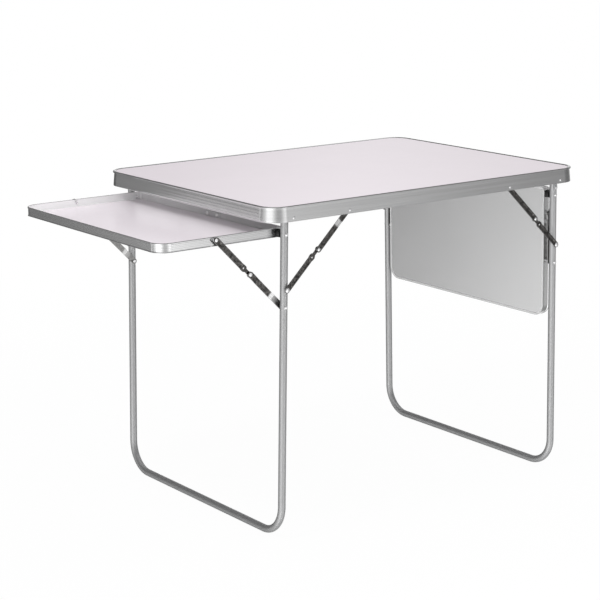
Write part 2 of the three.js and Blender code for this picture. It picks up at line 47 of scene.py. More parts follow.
# A socket that takes part in Python sums. Each sum adds a Math node to the socket's own tree.
class Wire:
    def __init__(self, graph, socket):
        self.graph = graph
        self.socket = socket

    def join(self, operation, first, second):
        return self.graph.node("ShaderNodeMath", {"operation": operation}, {0: first, 1: second})

    def __add__(self, other):
        return self.join("ADD", self, other)

    def __radd__(self, other):
        return self.join("ADD", other, self)

    def __sub__(self, other):
        return self.join("SUBTRACT", self, other)

    def __rsub__(self, other):
        return self.join("SUBTRACT", other, self)

    def __mul__(self, other):
        return self.join("MULTIPLY", self, other)

    def __rmul__(self, other):
        return self.join("MULTIPLY", other, self)

    def __truediv__(self, other):
        return self.join("DIVIDE", self, other)

    def __pow__(self, other):
        return self.join("POWER", self, other)


class Graph:
    def __init__(self, tree):
        self.tree = tree

    # Settings go on before the sockets are filled, because some of them change the sockets
    def node(self, kind, settings=None, values=None, output=0):
        made = self.tree.nodes.new(kind)
        for key, value in (settings or {}).items():
            if key == "stops":
                elements = made.color_ramp.elements
                while len(elements) < len(value):
                    elements.new(0.5)
                for element, (place, colour) in zip(elements, value):
                    element.position = place
                    element.color = (*colour, 1)
            else:
                setattr(made, key, value)
        for key, value in (values or {}).items():
            self.feed(made.inputs[key], value)
        return Wire(self, made.outputs[output])

    def feed(self, socket, value):
        if isinstance(value, Wire):
            self.tree.links.new(value.socket, socket)
        else:
            socket.default_value = value

    def others(self, wire, output):
        return Wire(self, wire.socket.node.outputs[output])


# A material's graph, with the few nodes that every finish here needs
class Finish(Graph):
    def __init__(self, name):
        self.material = bpy.data.materials.new(name)
        self.material.use_nodes = True
        super().__init__(self.material.node_tree)
        self.shader = next(n for n in self.tree.nodes if n.type == "BSDF_PRINCIPLED")
        self.place = self.node("ShaderNodeTexCoord", output="Object")

    def set(self, **values):
        for key, value in values.items():
            self.feed(self.shader.inputs[key.replace("_", " ")], value)

    def noise(self, vector, scale, detail=3, roughness=0.5):
        values = {"Vector": vector, "Scale": scale, "Detail": detail, "Roughness": roughness}
        return self.node("ShaderNodeTexNoise", {"noise_dimensions": "3D"}, values, "Fac")

    def stretched(self, vector, scale):
        return self.node("ShaderNodeMapping", None, {"Vector": vector, "Scale": scale})

    def ramp(self, value, stops):
        return self.node("ShaderNodeValToRGB", {"stops": stops}, {"Fac": value}, "Color")

    def mixed(self, share, first, second):
        made = self.node("ShaderNodeMix", {"data_type": "RGBA"}, None, 2)
        for place, value in ((0, share), (6, first), (7, second)):
            self.feed(made.socket.node.inputs[place], value)
        return made

    def blend(self, share, first, second):
        return self.mixed(share, (*first, 1), (*second, 1))

    def relief(self, height, strength, distance):
        values = {"Height": height, "Strength": strength, "Distance": distance}
        self.set(Normal=self.node("ShaderNodeBump", None, values))


# Where a swept section's own lines run: its "across" attribute holds the way round the section in millimetres
def sweptPlace(finish, along, across):
    x = finish.node("ShaderNodeSeparateXYZ", None, {0: finish.place}, 0)
    y = finish.others(x, 1)
    z = finish.others(x, 2)
    name = {"attribute_type": "GEOMETRY", "attribute_name": "across"}
    round = finish.node("ShaderNodeAttribute", name, None, "Fac")
    return finish.node("ShaderNodeCombineXYZ", None, {0: (x + z) * along, 1: y * along, 2: round * across})


laminateFace = {"light": (0.80, 0.728, 0.778), "shade": (0.775, 0.705, 0.755), "roughness": 0.2, "gloss": 0.5}
# The tray's laminate is a lighter copy of the top's laminate: painted light, standing in for the tray looking brighter
# than the top
trayFacePaintedLighter = {"light": (0.88, 0.815, 0.865), "shade": (0.85, 0.787, 0.836), "roughness": 0.16, "gloss": 0.25}


def laminate(name, face):
    f = Finish(name)
    cloud = f.noise(f.place, 7, 4)
    peel = f.noise(f.place, 650, 2)
    rub = f.noise(f.stretched(f.place, (3, 40, 3)), 6, 5, 0.6)
    f.set(Base_Color=f.blend(cloud, face["shade"], face["light"]))
    f.set(Roughness=face["roughness"] + 0.04 * cloud + 0.05 * rub, Specular_IOR_Level=face["gloss"])
    f.relief(peel, 0.03, 0.0001)
    return f.material


backingSheet = {"light": (0.68, 0.68, 0.682), "shade": (0.64, 0.64, 0.642), "roughness": 0.17, "metal": 0.75}


def backing():
    f = Finish("backing")
    cloud = f.noise(f.place, 11, 4)
    grain = f.noise(f.place, 900, 2)
    f.set(Base_Color=f.blend(cloud, backingSheet["shade"], backingSheet["light"]))
    f.set(Roughness=backingSheet["roughness"] + 0.04 * cloud, Metallic=backingSheet["metal"])
    f.relief(grain, 0.02, 0.0001)
    return f.material


rimMetal = {"light": (0.92, 0.92, 0.923), "shade": (0.62, 0.62, 0.624), "roughness": 0.18}
rimInside = {"light": (0.95, 0.948, 0.95), "shade": (0.9, 0.898, 0.9), "roughness": 0.34, "metal": 0.25}
# Colour of the painted shade on the tray's inner wall beside the legs
rimPaintedShade = (0.34, 0.34, 0.342)


# The section's outside is bright, and its inner faces are dull and paler, and darker where painted shade is laid on
# them
def aluminium():
    f = Finish("aluminium")
    lines = f.noise(sweptPlace(f, 2, 0.42), 1, 3, 0.5)
    broad = f.noise(sweptPlace(f, 5, 0.13), 1, 2)
    inside = f.node("ShaderNodeAttribute", {"attribute_type": "GEOMETRY", "attribute_name": "inside"}, None, "Fac")
    mottle = 0.6 * lines + 0.4 * broad
    outer = f.blend(mottle, rimMetal["shade"], rimMetal["light"])
    # Painted shade: where the tray marks its wall beside the legs, the inner faces take the dark painted-shade colour
    shaded = f.node("ShaderNodeAttribute", {"attribute_type": "GEOMETRY", "attribute_name": "shaded"}, None, "Fac")
    inner = f.mixed(shaded, f.blend(mottle, rimInside["shade"], rimInside["light"]), (*rimPaintedShade, 1))
    f.set(Base_Color=f.mixed(inside, outer, inner))
    f.set(Metallic=1 - (1 - rimInside["metal"]) * inside)
    dull = rimInside["roughness"] - rimMetal["roughness"]
    f.set(Roughness=rimMetal["roughness"] + 0.06 * lines + dull * inside)
    f.relief(lines, 0.05, 0.00005)
    return f.material


legMetal = {"light": (0.47, 0.472, 0.475), "shade": (0.42, 0.422, 0.425), "roughness": 0.44}


def legSilver():
    f = Finish("legSilver")
    lines = f.noise(sweptPlace(f, 2, 0.4), 1, 3, 0.5)
    cloud = f.noise(f.place, 300, 2)
    f.set(Base_Color=f.blend(0.85 * lines + 0.15 * cloud, legMetal["shade"], legMetal["light"]))
    f.set(Metallic=0.8, Roughness=legMetal["roughness"] + 0.06 * lines)
    f.relief(lines, 0.04, 0.0001)
    return f.material


# Dark flecked colours that stand in for the chrome's dark reflections, and the light colour of wear and painted glints
linkMetal = {"light": (0.2, 0.192, 0.184), "shade": (0.04, 0.039, 0.038), "worn": (0.93, 0.93, 0.93), "roughness": 0.16}


# Dark metal in small flecks. The dark colour stands in for the dark studio that chrome links mirror: a painted dark
# reflection. It is lighter along the pressed edges, partly wear and partly painted highlight, and painted glints and
# lighter painted reflections lie on bands of the left links and on the collars, with a painted sheen on the links'
# inner sides.
def darkPlate():
    f = Finish("darkPlate")
    mottle = f.noise(f.place, 210, 4, 0.62)
    cloud = f.noise(f.place, 45, 2)
    worn = f.node("ShaderNodeAttribute", {"attribute_type": "GEOMETRY", "attribute_name": "worn"}, None, "Fac")
    share = f.ramp(mottle, [(0.36, (0, 0, 0)), (0.66, (1, 1, 1))])
    plated = f.blend(share, linkMetal["shade"], linkMetal["light"])
    f.set(Base_Color=f.mixed(worn, plated, (*linkMetal["worn"], 1)))
    f.set(Metallic=1.0, Roughness=linkMetal["roughness"] + 0.14 * cloud)
    f.relief(mottle, 0.2, 0.0003)
    return f.material


def brightPlate():
    f = Finish("brightPlate")
    cloud = f.noise(f.place, 260, 3)
    f.set(Base_Color=f.blend(cloud, (0.84, 0.84, 0.85), (0.93, 0.93, 0.935)))
    f.set(Metallic=0.85, Roughness=0.14 + 0.1 * cloud)
    f.relief(cloud, 0.05, 0.0002)
    return f.material


def zincPlate():
    f = Finish("zincPlate")
    cloud = f.noise(f.place, 120, 4, 0.6)
    f.set(Base_Color=f.blend(cloud, (0.5, 0.505, 0.515), (0.62, 0.625, 0.635)))
    f.set(Metallic=1.0, Roughness=0.26 + 0.14 * cloud)
    f.relief(cloud, 0.1, 0.0002)
    return f.material


def blackPlastic():
    f = Finish("blackPlastic")
    grain = f.noise(f.place, 1100, 2)
    cloud = f.noise(f.place, 60, 3)
    f.set(Base_Color=f.blend(cloud, (0.008, 0.008, 0.009), (0.018, 0.018, 0.019)))
    f.set(Roughness=0.42 + 0.12 * cloud)
    f.relief(grain, 0.15, 0.0002)
    return f.material


finishes = {
    "laminate": laminate("laminate", laminateFace),
    "trayLaminate": laminate("trayLaminate", trayFacePaintedLighter),
    "backing": backing(),
    "rim": aluminium(),
    "leg": legSilver(),
    "link": darkPlate(),
    "rivet": brightPlate(),
    "hanger": zincPlate(),
    "bush": blackPlastic(),
}
print("finishes made:", len(finishes))


# Meshes. All sizes below are in millimetres, and meshes are made in metres.

def newObject(name, mesh):
    made = bpy.data.objects.new(name, mesh)
    bpy.context.scene.collection.objects.link(made)
    return made


def meshFrom(name, points, faces, sharpAngle=32):
    mesh = bpy.data.meshes.new(name)
    mesh.from_pydata([[c * mm for c in p] for p in points], [], faces)
    solid = bmesh.new()
    solid.from_mesh(mesh)
    bmesh.ops.remove_doubles(solid, verts=solid.verts, dist=1e-7)
    bmesh.ops.recalc_face_normals(solid, faces=solid.faces)
    solid.to_mesh(mesh)
    solid.free()
    smooth(mesh, sharpAngle)
    return mesh


def smooth(mesh, sharpAngle):
    mesh.shade_smooth()
    mesh.set_sharp_from_angle(angle=math.radians(sharpAngle))


# Takes what a modifier makes of an object as a plain mesh of a new object, and removes the first one
def settled(worked, name, material=None, sharpAngle=32):
    bpy.context.view_layer.update()
    graph = bpy.context.evaluated_depsgraph_get()
    mesh = bpy.data.meshes.new_from_object(worked.evaluated_get(graph), depsgraph=graph)
    mesh.name = name
    bpy.data.objects.remove(worked)
    smooth(mesh, sharpAngle)
    if material is not None:
        mesh.materials.clear()
        mesh.materials.append(material)
    return newObject(name, mesh)


def turnedInto(mesh, matrix):
    mesh.transform(matrix)
    if matrix.determinant() < 0:
        mesh.flip_normals()


def placeAt(x=0, y=0, z=0):
    return Matrix.Translation(Vector((x, y, z)) * mm)


def aboutY(angle):
    return Matrix.Rotation(angle, 4, "Y")


def ride(piece, body, slotName, *replaced):
    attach(piece, body)
    if replaced:
        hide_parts(*replaced)
    return piece


# Softens the corners of a closed outline with short curves
def softened(points, radius, steps=3):
    rounded = []
    count = len(points)
    for i, point in enumerate(points):
        before = Vector(points[i - 1])
        here = Vector(point)
        after = Vector(points[(i + 1) % count])
        toBefore = before - here
        toAfter = after - here
        reach = min(radius, 0.45 * toBefore.length, 0.45 * toAfter.length)
        start = here + toBefore.normalized() * reach
        end = here + toAfter.normalized() * reach
        for step in range(steps):
            t = step / (steps - 1)
            rounded.append(start * (1 - t) ** 2 + here * 2 * t * (1 - t) + end * t * t)
    return [tuple(p) for p in rounded]


# Shallow flutes down a wall, from one height to a lower one
def flutes(inset, top, bottom, count, depth):
    pitch = (top - bottom) / count
    shares = [step / 8 for step in range(8)]
    return [
        (inset + depth * (0.5 - 0.5 * math.cos(2 * math.pi * share)), top - (flute + share) * pitch)
        for flute in range(count)
        for share in shares
    ]


# Geometry Nodes

def geometryTree(name, inputs):
    tree = bpy.data.node_groups.new(name, "GeometryNodeTree")
    tree.interface.new_socket("Geometry", in_out="INPUT", socket_type="NodeSocketGeometry")
    for label, kind in inputs:
        tree.interface.new_socket(label, in_out="INPUT", socket_type=kind)
    tree.interface.new_socket("Geometry", in_out="OUTPUT", socket_type="NodeSocketGeometry")
    graph = Graph(tree)
    start = graph.node("NodeGroupInput")
    given = {label: graph.others(start, label) for label in ["Geometry"] + [label for label, kind in inputs]}
    return graph, given


# Ends a tree the way the export needs it: real copies, with one material
def finishTree(graph, shape, material):
    real = graph.node("GeometryNodeRealizeInstances", None, {"Geometry": shape})
    painted = graph.node("GeometryNodeSetMaterial", None, {"Geometry": real, "Material": material})
    end = graph.tree.nodes.new("NodeGroupOutput")
    graph.feed(end.inputs["Geometry"], painted)
    return graph.tree


def applyTree(worked, tree, **values):
    modifier = worked.modifiers.new(tree.name, "NODES")
    modifier.node_group = tree
    sockets = {s.name: s.identifier for s in tree.interface.items_tree if s.in_out == "INPUT"}
    for label, value in values.items():
        modifier[sockets[label.replace("_", " ")]] = value
    return worked


# A section, given as the object's own loop of edges, carried round a rectangle with rounded corners
def rimTree():
    inputs = [
        ("Length", "NodeSocketFloat"),
        ("Width", "NodeSocketFloat"),
        ("Left Radius", "NodeSocketFloat"),
        ("Right Radius", "NodeSocketFloat"),
        ("Corner Steps", "NodeSocketInt"),
        ("Material", "NodeSocketMaterial"),
    ]
    graph, given = geometryTree("sweptRim", inputs)
    section = graph.node("GeometryNodeMeshToCurve", None, {0: given["Geometry"]})
    size = {"Width": given["Length"], "Height": given["Width"]}
    box = graph.node("GeometryNodeCurvePrimitiveQuadrilateral", {"mode": "RECTANGLE"}, size)
    x = graph.node("ShaderNodeSeparateXYZ", None, {0: graph.node("GeometryNodeInputPosition")}, 0)
    onRight = graph.node("FunctionNodeCompare", {"operation": "GREATER_THAN"}, {0: x, 1: 0.0})
    radii = {"Switch": onRight, "False": given["Left Radius"], "True": given["Right Radius"]}
    radius = graph.node("GeometryNodeSwitch", {"input_type": "FLOAT"}, radii)
    values = {"Curve": box, "Count": given["Corner Steps"], "Radius": radius, "Limit Radius": False}
    path = graph.node("GeometryNodeFilletCurve", {"mode": "POLY"}, values)
    ring = graph.node("GeometryNodeCurveToMesh", None, {"Curve": path, "Profile Curve": section})
    return finishTree(graph, ring, given["Material"])


# A round tube along the object's own line of edges, with its bends rounded
def tubeTree():
    inputs = [
        ("Radius", "NodeSocketFloat"),
        ("Bend Radius", "NodeSocketFloat"),
        ("Bend Steps", "NodeSocketInt"),
        ("Sides", "NodeSocketInt"),
        ("Material", "NodeSocketMaterial"),
    ]
    graph, given = geometryTree("bentTube", inputs)
    line = graph.node("GeometryNodeMeshToCurve", None, {0: given["Geometry"]})
    values = {"Curve": line, "Count": given["Bend Steps"], "Radius": given["Bend Radius"]}
    path = graph.node("GeometryNodeFilletCurve", {"mode": "POLY"}, values)
    circle = {"Resolution": given["Sides"], "Radius": given["Radius"]}
    section = graph.node("GeometryNodeCurvePrimitiveCircle", {"mode": "RADIUS"}, circle)
    way = graph.node("GeometryNodeInputIndex") * 1.0
    store = {"data_type": "FLOAT", "domain": "POINT"}
    marked = graph.node("GeometryNodeStoreNamedAttribute", store, {"Geometry": section, "Name": "across"})
    graph.feed(marked.socket.node.inputs["Value"], way)
    tube = graph.node("GeometryNodeCurveToMesh", None, {"Curve": path, "Profile Curve": marked})
    return finishTree(graph, tube, given["Material"])


# Copies of one shape on the object's own points, each turned as its "turn" attribute says
def copyTree():
    inputs = [("Shape", "NodeSocketObject"), ("Material", "NodeSocketMaterial")]
    graph, given = geometryTree("placedCopies", inputs)
    info = graph.node("GeometryNodeObjectInfo", None, {"Object": given["Shape"]}, "Geometry")
    turn = graph.node("GeometryNodeInputNamedAttribute", {"data_type": "QUATERNION"}, {"Name": "turn"})
    values = {"Points": given["Geometry"], "Instance": info, "Rotation": turn}
    copies = graph.node("GeometryNodeInstanceOnPoints", None, values)
    return finishTree(graph, copies, given["Material"])


trees = {"rim": rimTree(), "tube": tubeTree(), "copies": copyTree()}


# One mesh of copies of a shape, standing as each matrix says
def copiesOf(name, shape, matrices, finish, sharpAngle=32):
    points = bpy.data.meshes.new(name)
    points.from_pydata([m.to_translation() for m in matrices], [], [])
    turn = points.attributes.new("turn", "QUATERNION", "POINT")
    for held, matrix in zip(turn.data, matrices):
        held.value = matrix.to_quaternion()
    source = newObject(name + "Shape", shape)
    worked = applyTree(newObject(name, points), trees["copies"], Shape=source, Material=finishes[finish])
    made = settled(worked, name, finishes[finish], sharpAngle)
    bpy.data.objects.remove(source)
    return made


def sectionObject(name, section, innerStart):
    count = len(section)
    mesh = bpy.data.meshes.new(name)
    points = [(-inset * mm, -height * mm, 0) for inset, height in section]
    mesh.from_pydata(points, [(i, (i + 1) % count) for i in range(count)], [])
    across = mesh.attributes.new("across", "FLOAT", "POINT")
    inside = mesh.attributes.new("inside", "FLOAT", "POINT")
    way = 0
    for i in range(count):
        across.data[i].value = way
        inside.data[i].value = 1.0 if i >= innerStart else 0.0
        way += math.dist(section[i], section[(i + 1) % count])
    return newObject(name, mesh)


def sweptRim(name, section, length, width, leftRadius, rightRadius, steps):
    outside, inner = section
    worked = applyTree(
        sectionObject(name, outside + inner, len(outside)),
        trees["rim"],
        Length=length * mm,
        Width=width * mm,
        Left_Radius=leftRadius * mm,
        Right_Radius=rightRadius * mm,
        Corner_Steps=steps,
        Material=finishes["rim"],
    )
    return settled(worked, name, finishes["rim"], 28)


# Layers across the table's width, as distances from its middle line
layers = {
    "rimFace": 297,
    "rimInner": 295.4,
    "upperLinkOuter": 293.3,
    "upperLinkInner": 291.7,
    "lowerLinkOuter": 289.6,
    "lowerLinkInner": 288.0,
    "legOuter": 285,
    "legMiddle": 277.5,
    "legInner": 270,
    "legStrutOuter": 269.7,
    "legStrutInner": 268.1,
    "trayStrutOuter": 266.0,
    "trayStrutInner": 264.4,
    "trayOuter": 259.5,
    "trayWallInner": 257.1,
    "gap": 0.3,
}


# The rounded rectangle that a board follows
def roundedOutline(left, right, half, leftRadius, rightRadius, inset, steps):
    corners = [
        (right, half, rightRadius, 0),
        (left, half, leftRadius, 1),
        (left, -half, leftRadius, 2),
        (right, -half, rightRadius, 3),
    ]
    points = []
    for x, y, radius, quarter in corners:
        centreX = x - math.copysign(radius, x - (left + right) / 2)
        centreY = y - math.copysign(radius, y)
        for step in range(steps + 1):
            angle = (quarter + step / steps) * math.pi / 2
            reach = radius - inset
            points.append((centreX + reach * math.cos(angle), centreY + reach * math.sin(angle)))
    return points


# A board between its lower and upper face. Each level is an inset from the outline and a height.
def boardMesh(name, outline, levels, face):
    loops = [[(x, y, z) for x, y in outline(inset)] for inset, z in levels]
    count = len(loops[0])
    points = [p for loop in loops for p in loop]
    faces = [tuple(reversed(range(count)))]
    for level in range(len(loops) - 1):
        low = level * count
        for i in range(count):
            j = (i + 1) % count
            faces.append((low + i, low + j, low + count + j, low + count + i))
    faces.append(tuple((len(loops) - 1) * count + i for i in range(count)))
    mesh = meshFrom(name, points, faces)
    mesh.materials.append(finishes[face])
    mesh.materials.append(finishes["backing"])
    for face in mesh.polygons:
        face.material_index = 0 if face.normal.z > 0.3 else 1
    return mesh


# The top

topSizes = {
    "length": 800,
    "width": 600,
    "height": 666,
    "middle": 110.6714,
    "cornerRadius": 40,
    "cornerSteps": 26,
    "foot": 635,
    "flutes": 4,
    "fluteDepth": 0.03,
    "lean": 0.097,
}


# The bead is round on top, and the wall below it leans out a little down to a small bead at its foot
def topRimSection():
    top = topSizes["height"]
    foot = topSizes["foot"]
    bead = [
        (6, top - 1.5),
        (5.2, top - 1),
        (4, top - 0.6),
        (3, top - 0.3),
        (2.2, top - 0.08),
        (1.6, top),
        (1, top - 0.15),
        (0.5, top - 0.55),
        (0.15, top - 1.1),
        (0, top - 1.8),
        (0, top - 3),
        (0.3, top - 3.45),
        (0.9, top - 3.6),
        (2.3, top - 3.65),
        (2.7, top - 4),
    ]
    wall = flutes(2.75, top - 4.3, foot + 2.4, topSizes["flutes"], topSizes["fluteDepth"])
    wall = [(inset - topSizes["lean"] * (top - 4.3 - height), height) for inset, height in wall]
    lower = [(0.5, foot + 2), (0.3, foot + 1.2), (0.3, foot + 0.5), (0.6, foot)]
    inside = [
        (4.6, foot),
        (4.6, 658.8),
        (7.6, 658.8),
        (7.6, 660.2),
        (4.6, 660.2),
        (4.6, 664.3),
        (6, 664.3),
    ]
    return bead + wall + softened(lower, 0.4)[:-1], softened(inside, 0.2)


def makeTop():
    rim = sweptRim(
        "topRim",
        topRimSection(),
        topSizes["length"],
        topSizes["width"],
        topSizes["cornerRadius"],
        topSizes["cornerRadius"],
        topSizes["cornerSteps"],
    )
    turnedInto(rim.data, placeAt(topSizes["middle"]))
    ride(rim, "table_top", "rim", "top_rim")

    half = topSizes["length"] / 2
    radius = topSizes["cornerRadius"]

    def outline(inset):
        return roundedOutline(-half, half, topSizes["width"] / 2, radius, radius, inset, topSizes["cornerSteps"])

    levels = [(5.2, 660.5), (4.9, 660.8), (4.9, 663.8), (5.1, 664), (6.9, 664), (6.9, 664.7), (7.2, 665)]
    board = newObject("topBoard", boardMesh("topBoard", outline, levels, "laminate"))
    turnedInto(board.data, placeAt(topSizes["middle"]))
    ride(board, "table_top", "laminate", "top_panel")


makeTop()
print("top made")


# Turned pieces: rivets, bolts and bushes, with their axis along Y on the near side

def turnedMesh(name, steps, sides=28):
    count = len(steps)
    points = []
    for i in range(sides):
        angle = 2 * math.pi * i / sides
        for radius, distance in steps:
            points.append((radius * math.cos(angle), near * distance, radius * math.sin(angle)))
    faces = []
    for i in range(sides):
        a = i * count
        b = ((i + 1) % sides) * count
        for j in range(count - 1):
            faces.append((a + j, a + j + 1, b + j + 1, b + j))
    faces.append(tuple(i * count for i in range(sides)))
    faces.append(tuple(i * count + count - 1 for i in range(sides)))
    return meshFrom(name, points, faces, 30)


# A domed head that rises from its seat
def dome(radius, seat, height, flat=0.22, steps=6):
    rise = height * (1 - flat)
    points = [(radius, seat), (radius, seat + height * flat)]
    for step in range(1, steps):
        angle = step / steps * math.pi / 2
        points.append((radius * math.cos(angle), seat + height * flat + rise * math.sin(angle)))
    return points


# The swaged tail of a rivet or the end of a bolt, which faces the middle of the table
def tail(radius, seat, height):
    soft = height * 0.35
    return [
        (radius * 0.45, seat - height * 0.75),
        (radius * 0.62, seat - height),
        (radius - soft, seat - height),
        (radius, seat - height + soft),
        (radius, seat),
    ]


shank = 2.4
shoulder = 4


def hangerRivetSteps():
    gap = layers["gap"]
    tongueInner = layers["legOuter"] + gap
    tongueOuter = tongueInner + hangerSizes["sheet"]
    return [
        (shank, tongueInner + gap),
        (shank, tongueOuter + gap),
        (shoulder, tongueOuter + gap),
        (shoulder, layers["rimInner"] - gap),
        (shank, layers["rimInner"] - gap),
        (shank, layers["rimFace"] + 1.5),
        *dome(3.2, layers["rimFace"] + 1.5, 1.4),
    ]


def braceRivetSteps():
    gap = layers["gap"]
    return [
        (shank, layers["upperLinkInner"] + 0.1),
        (shank, layers["upperLinkOuter"] + gap),
        (shoulder, layers["upperLinkOuter"] + gap),
        (shoulder, layers["rimInner"] - gap),
        (shank, layers["rimInner"] - gap),
        (shank, layers["rimFace"] + 1.5),
        *dome(3.2, layers["rimFace"] + 1.5, 1.4),
    ]


def braceBoltSteps():
    gap = layers["gap"]
    return [
        (shank, layers["legMiddle"]),
        (shank, layers["legOuter"] - 0.2),
        (shoulder, layers["legOuter"] - 0.2),
        (shoulder, layers["lowerLinkInner"] - gap),
        (shank, layers["lowerLinkInner"] - gap),
        (shank, layers["lowerLinkOuter"] + gap),
        *dome(4.7, layers["lowerLinkOuter"] + gap, 1.5),
    ]


def strutBoltSteps():
    seat = layers["legStrutInner"] - layers["gap"]
    head = dome(3.7, layers["legOuter"] - 0.3, 2.4)
    return tail(3.2, seat, 1.5) + [(shank, seat), (shank, layers["legOuter"] - 0.3)] + head


def trayBoltSteps():
    seat = layers["trayWallInner"] - layers["gap"]
    head = dome(3.7, layers["legOuter"] - 0.3, 2.4)
    return tail(3.9, seat, 2.3) + [(shank, seat), (shank, layers["legOuter"] - 0.3)] + head


def strutRivetSteps():
    gap = layers["gap"]
    seat = layers["trayWallInner"] - gap
    return tail(3.2, seat, 1.5) + [
        (shank, seat),
        (shank, layers["trayOuter"] + gap),
        (shoulder, layers["trayOuter"] + gap),
        (shoulder, layers["trayStrutInner"] - gap),
        (shank, layers["trayStrutInner"] - gap),
        (shank, layers["trayStrutOuter"] + 0.02),
        (3.4, layers["trayStrutOuter"] + 0.02),
        (3.4, layers["trayStrutOuter"] + 0.12),
        (2.9, layers["trayStrutOuter"] + 0.22),
    ]


# The bush is a spool with a flange at each end, round a bore that clears its bolt
def bushMesh():
    inner = layers["trayOuter"] + layers["gap"]
    outer = inner + 9.9
    full = bushSizes["radius"]
    waist = bushSizes["waist"]
    bore = shank + layers["gap"]
    loop = [
        (bore, inner),
        (full - 0.4, inner),
        (full, inner + 0.4),
        (full, inner + 1.6),
        (waist, inner + 2),
        (waist, outer - 2),
        (full, outer - 1.6),
        (full, outer - 0.4),
        (full - 0.4, outer),
        (bore, outer),
    ]
    count = len(loop)
    sides = 32
    points = []
    for i in range(sides):
        angle = 2 * math.pi * i / sides
        points += [(r * math.cos(angle), near * d, r * math.sin(angle)) for r, d in loop]
    faces = []
    for i in range(sides):
        a = i * count
        b = ((i + 1) % sides) * count
        for j in range(count):
            k = (j + 1) % count
            faces.append((a + j, a + k, b + k, b + j))
    return meshFrom("bush", points, faces, 30)


bushSizes = {"radius": 8.2, "waist": 7.4}


# Pressed strips: links and hangers

# Each station is a point, the directions of the width and of the thickness, a half width, a share of groove
# and a share of wear and painted glint on the plating
def stripMesh(name, stations, thickness, grooveHalf, grooveDepth):
    edge = 0.3
    half = thickness / 2
    rings = []
    worn = []
    for place, wide, out, reach, groove, wearAndGlintShare in stations:
        e = min(edge, reach * 0.3)
        g = min(grooveHalf, reach * 0.45)
        floor = half - grooveDepth * groove
        rim = min(1, wearAndGlintShare + edgeWearAndHighlight)
        loop = [
            (-reach, -half + e, rim),
            (-reach, half - e, rim),
            (-reach + e, half, rim),
            (-reach + 2 * e, half, wearAndGlintShare),
            (-g - 0.7, half, wearAndGlintShare),
            (-g, floor, wearAndGlintShare),
            (g, floor, wearAndGlintShare),
            (g + 0.7, half, wearAndGlintShare),
            (reach - 2 * e, half, wearAndGlintShare),
            (reach - e, half, rim),
            (reach, half - e, rim),
            (reach, -half + e, rim),
            (reach - e, -half, max(wearAndGlintShare, innerPaintedSheen)),
            (-reach + e, -half, max(wearAndGlintShare, innerPaintedSheen)),
        ]
        rings.append([Vector(place) + Vector(wide) * w + Vector(out) * t for w, t, mark in loop])
        worn += [mark for w, t, mark in loop]
    count = len(rings[0])
    points = [tuple(p) for ring in rings for p in ring]
    faces = []
    for i in range(len(rings) - 1):
        for j in range(count):
            k = (j + 1) % count
            faces.append((i * count + j, i * count + k, (i + 1) * count + k, (i + 1) * count + j))
    faces.append(tuple(range(count)))
    faces.append(tuple((len(rings) - 1) * count + j for j in range(count)))
    mesh = meshFrom(name, points, faces, 30)
    if len(mesh.vertices) == len(worn):
        mesh.attributes.new("worn", "FLOAT", "POINT").data.foreach_set("value", worn)
    return mesh


# Pressed edges are lighter, partly from wear and partly as a painted highlight; the links' inner sides carry a painted
# sheen
edgeWearAndHighlight = 0.3
innerPaintedSheen = 0.2

linkSizes = {
    "half": 5.85,
    "plainHalf": 6,
    "neckHalf": 3.7,
    "neckStart": 6,
    "neckEnd": 15,
    "thickness": 1.6,
    "grooveHalf": 2.0,
    "grooveDepth": 0.55,
    "endSteps": 9,
    "stationPitch": 1.6,
    "collarDistance": 20,
    "collarLength": 7,
    "collarHalf": 6.2,
    "collarProud": 0.6,
}


# Painted glints and lighter painted reflections along a link's length, and how far it is pressed inwards there
linkPaintedGlints = {
    "leftUpperLinks": [(0, 0), (26, 0), (28, 0.9), (39, 0.85), (42, 0), (200, 0)],
    "leftLegStruts": [(0, 0), (12, 0.02), (20, 0.35), (28, 0.5), (29, 1), (36.5, 1), (38, 0.02), (200, 0)],
}
linkPress = {"leftLegStruts": [(0, 0), (29, 0), (38, 0.9), (80, 0.9), (88, 0), (200, 0)]}
unmarked = [(0, 0), (200, 0)]


def alongMarks(marks, x):
    places = [place for place, value in marks]
    return float(np.interp(x, places, [value for place, value in marks]))


def linkStations(name, length, collared, inner):
    half = linkSizes["half" if collared else "plainHalf"]
    steps = linkSizes["endSteps"]
    marks = []
    for step in range(1, steps + 1):
        angle = step / steps * math.pi / 2
        marks.append((-half * math.cos(angle), half * math.sin(angle), 0))
    grooveStart = 10
    grooveEnd = length - (26 if collared else 9)
    marks += [(grooveStart, half, 0), (grooveStart + 3, half, 1)]
    count = int((grooveEnd - grooveStart - 6) / linkSizes["stationPitch"])
    for step in range(1, count):
        marks.append((grooveStart + 3 + step * (grooveEnd - grooveStart - 6) / count, half, 1))
    marks += [(grooveEnd - 3, half, 1), (grooveEnd, half, 0)]
    if collared:
        neck = linkSizes["neckHalf"]
        marks.append((length - linkSizes["neckEnd"], half, 0))
        marks.append((length - linkSizes["neckEnd"] + half - neck, neck, 0))
        reach = math.sqrt(half * half - neck * neck)
        marks.append((length - reach, neck, 0))
        for step in range(1, 5):
            x = reach * (1 - step / 5)
            marks.append((length - x, math.sqrt(half * half - x * x), 0))
    for step in range(steps, 0, -1):
        angle = step / steps * math.pi / 2
        marks.append((length + half * math.cos(angle), half * math.sin(angle), 0))
    press = linkPress.get(name, unmarked)
    wearAndGlintShare = linkPaintedGlints.get(name, unmarked)
    stations = []
    for x, b, groove in marks:
        middle = near * (inner + linkSizes["thickness"] / 2 - alongMarks(press, x))
        stations.append(((x, middle, 0), (0, 0, 1), (0, near, 0), b, groove, alongMarks(wearAndGlintShare, x)))
    return stations


